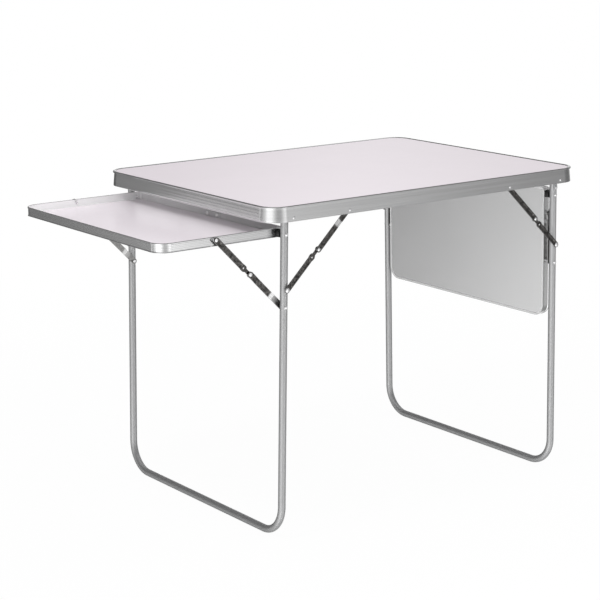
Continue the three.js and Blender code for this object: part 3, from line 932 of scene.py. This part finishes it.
def boxMesh(name, low, high, bevel):
    solid = bmesh.new()
    bmesh.ops.create_cube(solid, size=1)
    for vertex in solid.verts:
        for axis in range(3):
            middle = (low[axis] + high[axis]) / 2
            vertex.co[axis] = (middle + vertex.co[axis] * (high[axis] - low[axis])) * mm
    bmesh.ops.bevel(solid, geom=solid.edges[:], offset=bevel * mm, segments=3, profile=0.6, affect="EDGES")
    mesh = bpy.data.meshes.new(name)
    solid.to_mesh(mesh)
    solid.free()
    smooth(mesh, 30)
    return mesh


def joinedMesh(name, meshes):
    whole = bmesh.new()
    for mesh in meshes:
        whole.from_mesh(mesh)
    joined = bpy.data.meshes.new(name)
    whole.to_mesh(joined)
    whole.free()
    return joined


def holedMesh(name, mesh, radius, inner):
    body = newObject(name, mesh)
    drill = newObject(name + "Drill", turnedMesh(name + "Drill", [(radius, inner - 4), (radius, inner + 6)]))
    cut = body.modifiers.new("hole", "BOOLEAN")
    cut.operation = "DIFFERENCE"
    cut.solver = "EXACT"
    cut.object = drill
    bpy.context.view_layer.update()
    graph = bpy.context.evaluated_depsgraph_get()
    holed = bpy.data.meshes.new_from_object(body.evaluated_get(graph), depsgraph=graph)
    bpy.data.objects.remove(body)
    bpy.data.objects.remove(drill)
    return holed


# A raised ring, with its axis along Y on the near side
def ringMesh(name, outer, inner, seat, height):
    loop = [
        (outer, seat - 0.2),
        (outer, seat + height * 0.6),
        (outer - 0.25, seat + height),
        (inner + 0.25, seat + height),
        (inner, seat + height * 0.6),
        (inner, seat - 0.2),
    ]
    count = len(loop)
    sides = 28
    points = []
    for i in range(sides):
        angle = 2 * math.pi * i / sides
        points += [(r * math.cos(angle), near * d, r * math.sin(angle)) for r, d in loop]
    faces = []
    for i in range(sides):
        a = i * count
        b = ((i + 1) % sides) * count
        for j in range(count):
            k = (j + 1) % count
            faces.append((a + j, a + k, b + k, b + j))
    return meshFrom(name, points, faces, 30)


def linkMesh(name, length, inner, collared):
    strip = stripMesh(
        name,
        linkStations(name, length, collared, inner),
        linkSizes["thickness"],
        linkSizes["grooveHalf"],
        linkSizes["grooveDepth"],
    )
    strip = holedMesh(name, strip, shank + layers["gap"], inner)
    if not collared:
        return strip
    outer = inner + linkSizes["thickness"]
    middle = length - linkSizes["collarDistance"]
    reach = linkSizes["collarLength"] / 2
    proud = linkSizes["collarProud"]
    low = (middle - reach, -(outer + proud), -linkSizes["collarHalf"])
    high = (middle + reach, -(inner - proud), linkSizes["collarHalf"])
    ring = ringMesh(name + "Ring", 3.3, 2.0, outer + proud, 0.5)
    turnedInto(ring, placeAt(middle))
    collar = boxMesh(name + "Collar", low, high, 0.35)
    # A painted glint on the collar's outer face
    collarPaintedGlint = [0.8 if vertex.co.y > (high[1] - 0.4) * mm else 0.0 for vertex in collar.vertices]
    collar.attributes.new("worn", "FLOAT", "POINT").data.foreach_set("value", collarPaintedGlint)
    return joinedMesh(name, [strip, collar, ring])


# The rivet at a link's knee, and the button in its collar's ring
def kneeMesh(name, length, steps, buttonSeat=None):
    knee = turnedMesh(name, steps)
    turnedInto(knee, placeAt(length))
    if buttonSeat is None:
        return knee
    button = turnedMesh(name + "Button", [(1.75, buttonSeat - 0.2), *dome(1.75, buttonSeat - 0.1, 0.6)])
    turnedInto(button, placeAt(length - linkSizes["collarDistance"]))
    return joinedMesh(name, [knee, button])


# The two ends of the table. Each is made as the left end, and the right end is turned about the vertical.

ends = [
    {
        "name": "left",
        "pivot": (-240.8286, 644),
        "turn": 0,
        "splay": 1.36,
        "above": 9,
        "braceReach": 140.5,
        "upperLink": 99.6,
        "strutDrop": 141,
        "rimRivetReach": 6.4,
        "raised": True,
    },
    {
        "name": "right",
        "pivot": (459.1714, 624),
        "turn": math.pi,
        "splay": 0.9,
        "above": 14,
        "braceReach": 143,
        "upperLink": 110,
        "strutDrop": 145.5,
        "rimRivetReach": 0,
        "raised": False,
    },
]

legSizes = {
    "radius": 7.5,
    "wall": 1.2,
    "bendRadius": 60,
    "bendSteps": 24,
    "sides": 40,
    "trayPivot": 608.5,
    "braceBolt": 501.9,
    "rimRivet": 642,
}

traySizes = {
    "reach": 269,
    "innerReach": 13,
    "outerRadius": 28,
    "innerRadius": 9,
    "cornerSteps": 18,
    "above": 10.5,
    "below": 8,
    "flutes": 4,
    "fluteDepth": 0.05,
    "strutReach": 146,
    "strutRise": 4.5,
    "spliceOffset": -18,
    "spliceSpacing": 35,
}


def trayRimSection():
    bead = [(2.4, 10.2), (1.6, 10.45), (0.9, 10.5), (0.3, 10.2), (0, 9.6), (0, 8.1), (0.3, 7.2), (1, 6.6)]
    foot = [(1, -6.2), (0, -7.2), (0, -8)]
    inner = [(4, -8), (4, -7.2), (2.4, -7.2), (2.4, -5), (4.6, -5), (4.6, -4.2), (2.4, -4.2), (2.4, 9.9)]
    waist = flutes(1, 6.2, -5.9, traySizes["flutes"], traySizes["fluteDepth"])
    return bead + waist + softened(foot, 0.3)[:-1], softened(inner, 0.3)


def makeTray(end, trayPlace):
    name = end["name"]
    body = name + "_tray"
    length = traySizes["reach"] + traySizes["innerReach"]
    half = layers["trayOuter"]
    middle = (traySizes["innerReach"] - traySizes["reach"]) / 2
    rim = sweptRim(
        name + "TrayRim",
        trayRimSection(),
        length,
        2 * half,
        traySizes["outerRadius"],
        traySizes["innerRadius"],
        traySizes["cornerSteps"],
    )
    # Painted shade: the wall beside the legs is darkened as if the top shaded it, deepest at the near end
    wall = (length / 2 - traySizes["innerRadius"]) * mm
    paintedShades = [(0.95 if v.co.y < 0 else 0.1) if v.co.x > wall else 0.0 for v in rim.data.vertices]
    rim.data.attributes.new("shaded", "FLOAT", "POINT").data.foreach_set("value", paintedShades)
    turnedInto(rim.data, trayPlace @ placeAt(middle))
    ride(rim, body, "rim", body + "_rim")

    def outline(inset):
        return roundedOutline(
            -traySizes["reach"],
            traySizes["innerReach"],
            half,
            traySizes["outerRadius"],
            traySizes["innerRadius"],
            inset,
            traySizes["cornerSteps"],
        )

    levels = [(2.9, -6.9), (2.7, -6.7), (2.7, -5.5), (2.9, -5.3), (4.9, -5.3), (4.9, -4.6), (5, -4.5)]
    board = newObject(name + "TrayBoard", boardMesh(name + "TrayBoard", outline, levels, "trayLaminate"))
    turnedInto(board.data, trayPlace)
    ride(board, body, "laminate", body + "_panel")

    face = traySizes["innerReach"] - 2.7
    low = (face - 1.2, traySizes["spliceOffset"] - 27, -3.9)
    high = (face, traySizes["spliceOffset"] + 27, 5.1)
    splice = newObject(name + "TraySplice", boxMesh(name + "TraySplice", low, high, 0.25))
    splice.data.materials.append(finishes["rim"])
    # The splice carries a painted shade like the wall it lies on
    for mark, share in (("inside", 1.0), ("shaded", 0.52)):
        marked = splice.data.attributes.new(mark, "FLOAT", "POINT")
        marked.data.foreach_set("value", [share] * len(splice.data.vertices))
    turnedInto(splice.data, trayPlace)
    ride(splice, body, "rim", body + "_splice")

    rivet = turnedMesh("spliceRivet", [(2, -0.4), *dome(3.5, 0, 2.7)])
    spots = []
    for side in (near, far):
        y = traySizes["spliceOffset"] + side * traySizes["spliceSpacing"] / 2
        spots.append(trayPlace @ placeAt(face - 1.2, y, 0.6) @ Matrix.Rotation(-math.pi / 2, 4, "Z"))
    rivets = copiesOf(name + "SpliceRivets", rivet, spots, "rim")
    inside = rivets.data.attributes.new("inside", "FLOAT", "POINT")
    inside.data.foreach_set("value", [1.0] * len(rivets.data.vertices))
    ride(rivets, body, "rim")

    sides = [Matrix.Identity(4), Matrix.Rotation(math.pi, 4, "X")]
    rivetPlace = trayPlace @ placeAt(-traySizes["strutReach"], 0, traySizes["strutRise"])
    spots = [rivetPlace @ side for side in sides]
    rivets = copiesOf(name + "StrutRivets", turnedMesh("strutRivet", strutRivetSteps()), spots, "rivet")
    ride(rivets, body, "plated", *[f"{name}_{side}_strut_rivet" for side in ("near", "far")])


def makeLegTube(end, legPlace, drop):
    name = end["name"] + "LegTube"
    side = layers["legMiddle"]
    mesh = bpy.data.meshes.new(name)
    corners = [(-side, end["above"]), (-side, -drop), (side, -drop), (side, end["above"])]
    mesh.from_pydata([(0, y * mm, z * mm) for y, z in corners], [(0, 1), (1, 2), (2, 3)], [])
    worked = applyTree(
        newObject(name, mesh),
        trees["tube"],
        Radius=legSizes["radius"] * mm,
        Bend_Radius=legSizes["bendRadius"] * mm,
        Bend_Steps=legSizes["bendSteps"],
        Sides=legSizes["sides"],
        Material=finishes["leg"],
    )
    wall = worked.modifiers.new("wall", "SOLIDIFY")
    wall.thickness = legSizes["wall"] * mm
    wall.offset = -1
    tube = settled(worked, name, finishes["leg"], 50)
    turnedInto(tube.data, legPlace)
    ride(tube, end["name"] + "_leg_frame", "leg", end["name"] + "_leg_tube")


def bothNodes(end, part):
    return [f"{end['name']}_{side}_{part}" for side in ("near", "far")]


def makeEnd(end):
    name = end["name"]
    sides = [Matrix.Identity(4), Matrix.Rotation(math.pi, 4, "X")]
    splay = math.radians(end["splay"])
    pivotX, pivotZ = end["pivot"]
    endPlace = placeAt(pivotX, 0, 0) @ Matrix.Rotation(end["turn"], 4, "Z")
    legPlace = endPlace @ placeAt(0, 0, pivotZ) @ aboutY(splay)

    def alongLeg(height):
        return (height - pivotZ) / math.cos(splay)

    trayZ = alongLeg(legSizes["trayPivot"])
    strutZ = trayZ - end["strutDrop"]
    boltZ = alongLeg(legSizes["braceBolt"])
    makeLegTube(end, legPlace, -alongLeg(0) - legSizes["radius"])

    legBody = name + "_leg_frame"
    for label, steps, z in (
        ("BraceBolts", braceBoltSteps(), boltZ),
        ("StrutBolts", strutBoltSteps(), strutZ),
        ("TrayBolts", trayBoltSteps(), trayZ),
    ):
        part = {"BraceBolts": "brace_bolt", "StrutBolts": "strut_bolt", "TrayBolts": "tray_bolt"}[label]
        spots = [legPlace @ placeAt(0, 0, z) @ side for side in sides]
        bolts = copiesOf(name + label, turnedMesh(label, steps), spots, "rivet")
        ride(bolts, legBody, "plated", *bothNodes(end, part))
    spots = [legPlace @ placeAt(0, 0, trayZ) @ side for side in sides]
    bushes = copiesOf(name + "Bushes", bushMesh(), spots, "bush")
    ride(bushes, legBody, "bush", *bothNodes(end, "tray_bush"))

    # What the top carries at this end
    spots = [endPlace @ placeAt(end["rimRivetReach"], 0, legSizes["rimRivet"]) @ side for side in sides]
    rivets = copiesOf(name + "HangerRivets", turnedMesh("hangerRivet", hangerRivetSteps()), spots, "rivet")
    ride(rivets, "table_top", "plated", *bothNodes(end, "hanger_rivet"))
    rimPlace = endPlace @ placeAt(end["braceReach"], 0, legSizes["rimRivet"])
    spots = [rimPlace @ side for side in sides]
    rivets = copiesOf(name + "BraceRivets", turnedMesh("braceRivet", braceRivetSteps()), spots, "rivet")
    ride(rivets, "table_top", "plated", *bothNodes(end, "brace_rivet"))
    makeHangers(end, endPlace)

    # The main braces: the upper link hangs from the rim, and the lower link stands on the leg
    toEnd = (endPlace @ placeAt(0, 0, pivotZ)).inverted()
    rimPoint = Vector((end["braceReach"], 0, legSizes["rimRivet"] - pivotZ))
    boltPoint = (aboutY(splay) @ placeAt(0, 0, boltZ)).to_translation() / mm
    span = (boltPoint - rimPoint).length
    angle = math.atan2(boltPoint.z - rimPoint.z, boltPoint.x - rimPoint.x)
    spots = [rimPlace @ aboutY(-angle) @ side for side in sides]
    makeLinks(end, "UpperLinks", "upper_link", "upper_links", end["upperLink"], layers["upperLinkInner"], False, spots)
    angle = math.atan2(rimPoint.z - boltPoint.z, rimPoint.x - boltPoint.x)
    boltPlace = endPlace @ placeAt(boltPoint.x, 0, boltPoint.z + pivotZ)
    spots = [boltPlace @ aboutY(-angle) @ side for side in sides]
    makeLinks(end, "LowerLinks", "lower_link", "lower_links", span - end["upperLink"], layers["lowerLinkInner"], True, spots)

    # The tray and its struts. A raised tray is level, so it makes up for the leg's splay.
    raisedTurn = -splay
    hangingTurn = -math.pi / 2
    trayTurn = raisedTurn if end["raised"] else hangingTurn
    trayPlace = legPlace @ placeAt(0, 0, trayZ) @ aboutY(trayTurn)
    makeTray(end, trayPlace)

    def onTray(turn):
        spot = Vector((-traySizes["strutReach"], 0, traySizes["strutRise"]))
        return aboutY(turn) @ spot + Vector((0, 0, trayZ))

    legPoint = Vector((0, 0, strutZ))
    trayPoint = onTray(trayTurn)
    raised = onTray(raisedTurn)
    hanging = onTray(hangingTurn)
    span = (raised - legPoint).length
    below = legPoint.z - hanging.z
    legLength = (span**2 - below**2 - hanging.x**2) / (2 * (span + below))
    straight = legPoint.lerp(raised, legLength / span)
    doubled = Vector((0, 0, strutZ + legLength))
    knee = straight if end["raised"] else doubled
    angle = math.atan2(knee.z - legPoint.z, knee.x - legPoint.x)
    spots = [legPlace @ placeAt(0, 0, strutZ) @ aboutY(-angle) @ side for side in sides]
    makeLinks(end, "LegStruts", "leg_strut", "leg_struts", legLength, layers["legStrutInner"], False, spots)
    angle = math.atan2(knee.z - trayPoint.z, knee.x - trayPoint.x)
    spots = [legPlace @ placeAt(trayPoint.x, 0, trayPoint.z) @ aboutY(-angle) @ side for side in sides]
    trayLength = span - legLength
    makeLinks(end, "TrayStruts", "tray_strut", "tray_struts", trayLength, layers["trayStrutInner"], True, spots)
    print(name, "end made")


def kneeSteps(kind):
    gap = layers["gap"]
    if kind == "UpperLinks":
        return [(3.6, layers["upperLinkOuter"] - 0.8), *dome(3.6, layers["upperLinkOuter"], 1.5)]
    if kind == "LowerLinks":
        inner = layers["lowerLinkInner"] - 0.6
        return [(2.8, inner), (3.6, inner + 0.3), (3.6, layers["upperLinkInner"] - gap)]
    if kind == "LegStruts":
        outer = layers["legStrutOuter"]
        return [(3.6, outer - 0.8), (3.6, outer + 0.08), (3.2, outer + 0.15)]
    inner = layers["trayStrutInner"]
    head = [(3.6 * share, inner - 1.5 * rise) for share, rise in ((0.3, 1), (0.62, 0.95), (0.86, 0.7), (1, 0.25))]
    return head + [(3.6, layers["legStrutInner"] - gap)]


def makeLinks(end, kind, part, group, length, inner, collared, spots):
    name = end["name"] + kind
    body = f"{end['name']}_{group}"
    links = copiesOf(name, linkMesh(name, length, inner, collared), spots, "link", 30)
    ride(links, body, "plated", *bothNodes(end, part))
    seat = inner + linkSizes["thickness"] + linkSizes["collarProud"] if collared else None
    knees = copiesOf(name + "Knees", kneeMesh(kind + "Knee", length, kneeSteps(kind), seat), spots, "rivet")
    ride(knees, body, "plated")


hangerSizes = {
    "half": 7.5,
    "tip": 3.4,
    "tipShift": 1.2,
    "tipFrom": 640,
    "tipTo": 633,
    "sheet": 2,
    "flange": 24,
    "bend": 3,
    "top": 660.2,
    "screwRadius": 2.9,
    "screwHeight": 1.3,
}


# The tongue is wider where the rim's rivet stands beside the stud that the leg turns on, and a tongue that
# reaches below the rim is narrower there
def hangerMesh(pivotZ, rivetReach):
    sheet = hangerSizes["sheet"]
    inner = layers["legOuter"] + layers["gap"]
    middle = inner + sheet / 2
    flangeZ = hangerSizes["top"] - sheet / 2
    bend = hangerSizes["bend"]
    centre = rivetReach / 2
    half = hangerSizes["half"] + centre
    start = inner + sheet - hangerSizes["flange"]
    stations = []
    for share, wide in ((0, 0.72), (0.4, 0.9), (1, 1)):
        stations.append(((centre, near * (start + share * 3), flangeZ), (1, 0, 0), (0, 0, 1), half * wide, 0, 0))
    for step in range(7):
        angle = step / 6 * math.pi / 2
        y = middle - bend + bend * math.sin(angle)
        z = flangeZ - bend + bend * math.cos(angle)
        out = (0, near * math.sin(angle), math.cos(angle))
        stations.append(((centre, near * y, z), (1, 0, 0), out, half, 0, 0))
    tip = hangerSizes["half"]
    if pivotZ < hangerSizes["tipTo"]:
        tip = hangerSizes["tip"]
        stations.append(((centre, near * middle, hangerSizes["tipFrom"]), (1, 0, 0), (0, near, 0), half, 0, 0))
        centre += hangerSizes["tipShift"]
        stations.append(((centre, near * middle, hangerSizes["tipTo"]), (1, 0, 0), (0, near, 0), tip, 0, 0))
    for step in range(10):
        angle = step / 10 * math.pi / 2
        z = pivotZ - tip * math.sin(angle)
        reach = centre + tip * math.cos(angle)
        stations.append(((centre, near * middle, z), (1, 0, 0), (0, near, 0), reach, 0, 0))
    return stripMesh("hanger", stations, sheet, 1, 0)


def makeHangers(end, endPlace):
    name = end["name"]
    pivotZ = end["pivot"][1]
    onNear = hangerMesh(pivotZ, end["rimRivetReach"])
    onFar = onNear.copy()
    turnedInto(onFar, Matrix.Scale(-1, 4, (0, 1, 0)))
    hangers = newObject(name + "Hangers", joinedMesh(name + "Hangers", [onNear, onFar]))
    smooth(hangers.data, 30)
    hangers.data.materials.append(finishes["hanger"])
    turnedInto(hangers.data, endPlace)
    ride(hangers, "table_top", "plated", *bothNodes(end, "hanger"))

    outer = layers["legOuter"] + layers["gap"] + hangerSizes["sheet"]
    stud = turnedMesh("stud", [(shank, layers["legInner"] + layers["gap"]), (shank, outer), (2.6, outer), (2.2, outer + 0.2)])
    sides = [Matrix.Identity(4), Matrix.Rotation(math.pi, 4, "X")]
    spots = [endPlace @ placeAt(0, 0, pivotZ) @ side for side in sides]
    ride(copiesOf(name + "Studs", stud, spots, "rivet"), "table_top", "plated")

    screw = turnedMesh("screw", [(1.2, -0.3), *dome(hangerSizes["screwRadius"], 0, hangerSizes["screwHeight"])])
    down = Matrix.Rotation(math.pi / 2, 4, "X")
    under = hangerSizes["top"] - hangerSizes["sheet"]
    start = outer - hangerSizes["flange"]
    spots = []
    for side in (near, far):
        for y in (start + 5, start + 14):
            spots.append(endPlace @ placeAt(end["rimRivetReach"] / 2, side * y, under) @ down)
    ride(copiesOf(name + "HangerScrews", screw, spots, "rivet"), "table_top", "plated")


for end in ends:
    makeEnd(end)


# Studio

studio = {
    "cameraPlace": (-2.21621, -3.0162, 1.2655),
    "yaw": -36.277,
    "pitch": -13.088,
    "roll": -0.488,
    "lens": 109.068,
    "floorRadius": 2.3,
    "floorColour": (0.86, 0.86, 0.86),
    "shadowReach": 0.9,
    "shadowShare": 0.04,
}


def makeCamera():
    yaw = math.radians(studio["yaw"])
    pitch = math.radians(studio["pitch"])
    roll = math.radians(studio["roll"])
    forward = Vector((-math.sin(yaw) * math.cos(pitch), math.cos(yaw) * math.cos(pitch), math.sin(pitch)))
    right = forward.cross(Vector((0, 0, 1))).normalized()
    up = right.cross(forward)
    level = (right, up)
    right = level[0] * math.cos(roll) + level[1] * math.sin(roll)
    up = level[1] * math.cos(roll) - level[0] * math.sin(roll)
    data = bpy.data.cameras.new("camera")
    data.lens = studio["lens"]
    data.sensor_width = 36
    data.sensor_fit = "HORIZONTAL"
    data.clip_end = 60
    camera = newObject("camera", data)
    turn = Matrix((right, up, -forward)).transposed().to_4x4()
    camera.matrix_world = Matrix.Translation(studio["cameraPlace"]) @ turn
    bpy.context.scene.camera = camera


lamps = [
    {"name": "topLight", "place": (-1.8, -0.3, 3.0), "aim": (0, 0, 0.5), "size": (0.5, 0.5), "power": 19},
    {"name": "leftStrip", "place": (-3.4, -1.6, 0.9), "aim": (-0.1, 0, 0.4), "size": (1.2, 2.0), "power": 4},
    {"name": "frontStrip", "place": (0.2, -3.4, 0.4), "aim": (0.3, 0, 0.4), "size": (1.4, 1.2), "power": 16},
    {"name": "lowStrip", "place": (-0.15, -1.5, 0.05), "aim": (0.45, -0.2, 0.35), "size": (0.5, 0.5), "power": 11},
]


def makeLamp(values):
    data = bpy.data.lights.new(values["name"], "AREA")
    data.shape = "RECTANGLE"
    data.size, data.size_y = values["size"]
    data.energy = values["power"]
    lamp = newObject(values["name"], data)
    lamp.visible_camera = False
    lamp.visible_glossy = False
    aim = Vector(values["aim"]) - Vector(values["place"])
    lamp.matrix_world = Matrix.Translation(values["place"]) @ aim.to_track_quat("-Z", "Y").to_matrix().to_4x4()


# What polished metal shows of the studio, level by direction. Directions are in degrees round the table from
# +X towards +Y. Two soft boxes stand beside the camera, the way behind the table is darker to the left, and a
# dark ceiling has one light panel straight above.
aroundLow = [
    (0, 0.3),
    (30, 0.8),
    (50, 1),
    (60, 0.6),
    (75, 0.3),
    (92, 0.15),
    (112, 0.2),
    (121, 0.39),
    (126, 0.45),
    (129.5, 0.39),
    (135, 1.72),
    (138, 1.1),
    (141, 0.55),
    (150, 0.52),
    (158, 0.85),
    (167, 1.1),
    (178, 1.35),
    (186, 2.1),
    (192, 2.1),
    (214, 2.1),
    (223, 1.6),
    (236, 1),
    (246, 0.72),
    (262, 0.72),
    (272, 0.9),
    (280, 1.35),
    (297, 1.8),
    (302, 0.93),
    (306, 0.87),
    (311, 0.68),
    (316, 0.38),
    (340, 0.27),
]
aroundHigh = [
    (0, 0.5),
    (30, 0.55),
    (46, 0.7),
    (49, 0.9),
    (52, 1.2),
    (55, 0.95),
    (58, 0.62),
    (62, 0.34),
    (75, 0.25),
    (100, 0.16),
    (150, 0.2),
    (190, 0.3),
    (240, 0.3),
    (300, 0.2),
    (330, 0.2),
    (360, 0.5),
]
aroundTop = [(0, 0.13), (25, 0.25), (36, 0.6), (43, 0.6), (50, 0.12), (360, 0.13)]
horizon = {"from": 0.12, "to": 0.22}
darkSky = {"from": 0.29, "to": 0.4}
zenith = {"level": 1.1, "from": 0.9, "to": 0.97}
underneath = {"level": 0.5, "from": -0.82, "to": -0.95}
fill = {"level": 0.77, "slope": 0.55, "towards": (0.3, -0.88, 0.37)}
lowSlope = {"from": -0.17, "to": -0.26, "least": 0.62}


# Stops of a ramp from directions and levels
def levelStops(levels):
    return [(angle / 360, (level, level, level)) for angle, level in levels]


def between(graph, value, first, last):
    values = {"Value": value, "From Min": first, "From Max": last}
    return graph.node("ShaderNodeMapRange", {"interpolation_type": "SMOOTHSTEP"}, values, "Result")


def makeWorld():
    world = bpy.data.worlds.new("studio")
    world.use_nodes = True
    bpy.context.scene.world = world
    graph = Graph(world.node_tree)
    background = next(n for n in world.node_tree.nodes if n.type == "BACKGROUND")
    way = graph.node("ShaderNodeTexCoord", output="Generated")
    x = graph.node("ShaderNodeSeparateXYZ", None, {0: way}, 0)
    y = graph.others(x, 1)
    z = graph.others(x, 2)
    turn = graph.node("ShaderNodeMath", {"operation": "ARCTAN2"}, {0: y, 1: x}) / (2 * math.pi)
    turn = graph.node("ShaderNodeMath", {"operation": "WRAP"}, {0: turn, 1: 1.0, 2: 0.0})
    low = graph.node("ShaderNodeValToRGB", {"stops": levelStops(aroundLow)}, {"Fac": turn}, "Color")
    high = graph.node("ShaderNodeValToRGB", {"stops": levelStops(aroundHigh)}, {"Fac": turn}, "Color")
    top = graph.node("ShaderNodeValToRGB", {"stops": levelStops(aroundTop)}, {"Fac": turn}, "Color")
    above = between(graph, z, horizon["from"], horizon["to"])
    over = between(graph, z, zenith["from"], zenith["to"])
    under = between(graph, z, underneath["from"], underneath["to"])
    deeper = between(graph, z, lowSlope["from"], lowSlope["to"])
    low = low * (lowSlope["least"] + (1 - lowSlope["least"]) * deeper)
    dark = between(graph, z, darkSky["from"], darkSky["to"])
    high = high * (1 - dark) + top * dark
    sides = low * (1 - above) + high * above
    sides = sides * (1 - under) + underneath["level"] * under
    mirrored = sides * (1 - over) + zenith["level"] * over
    values = {0: way, 1: fill["towards"]}
    towards = graph.node("ShaderNodeVectorMath", {"operation": "DOT_PRODUCT"}, values, "Value")
    soft = fill["level"] + fill["slope"] * towards
    seen = graph.node("ShaderNodeLightPath", output="Is Camera Ray")
    glossy = graph.others(seen, "Is Glossy Ray")
    clear = graph.others(seen, "Is Transmission Ray")
    white = seen + clear
    graph.feed(background.inputs["Strength"], white + (1 - white) * (mirrored * glossy + soft * (1 - glossy)))
    background.inputs["Color"].default_value = (1, 1, 1, 1)


# The floor is white to the camera but for the shadow near the table, and metal looks past it into the studio
def makeFloor():
    solid = bmesh.new()
    bmesh.ops.create_circle(solid, cap_ends=True, radius=studio["floorRadius"], segments=96)
    mesh = bpy.data.meshes.new("floor")
    solid.to_mesh(mesh)
    solid.free()
    mesh.transform(Matrix.Translation((0, 0, -0.0008)))
    floor = newObject("floor", mesh)
    floor.visible_glossy = False
    f = Finish("floor")
    f.set(Base_Color=(*studio["floorColour"], 1), Roughness=0.9)
    white = f.node("ShaderNodeEmission", None, {"Color": (1, 1, 1, 1), "Strength": 1.0})
    seen = f.node("ShaderNodeLightPath", output="Is Camera Ray")
    distance = f.node("ShaderNodeVectorMath", {"operation": "LENGTH"}, {0: f.place}, "Value")
    away = between(f, distance, studio["shadowReach"], studio["floorRadius"])
    share = seen * (1 - studio["shadowShare"] * (1 - away))
    mixed = f.node("ShaderNodeMixShader", None, {0: share, 1: Wire(f, f.shader.outputs[0]), 2: white})
    out = next(n for n in f.tree.nodes if n.type == "OUTPUT_MATERIAL")
    f.feed(out.inputs["Surface"], mixed)
    mesh.materials.append(f.material)


makeCamera()
for values in lamps:
    makeLamp(values)
makeWorld()
makeFloor()
bpy.context.scene.view_settings.view_transform = "Standard"
print("studio made")
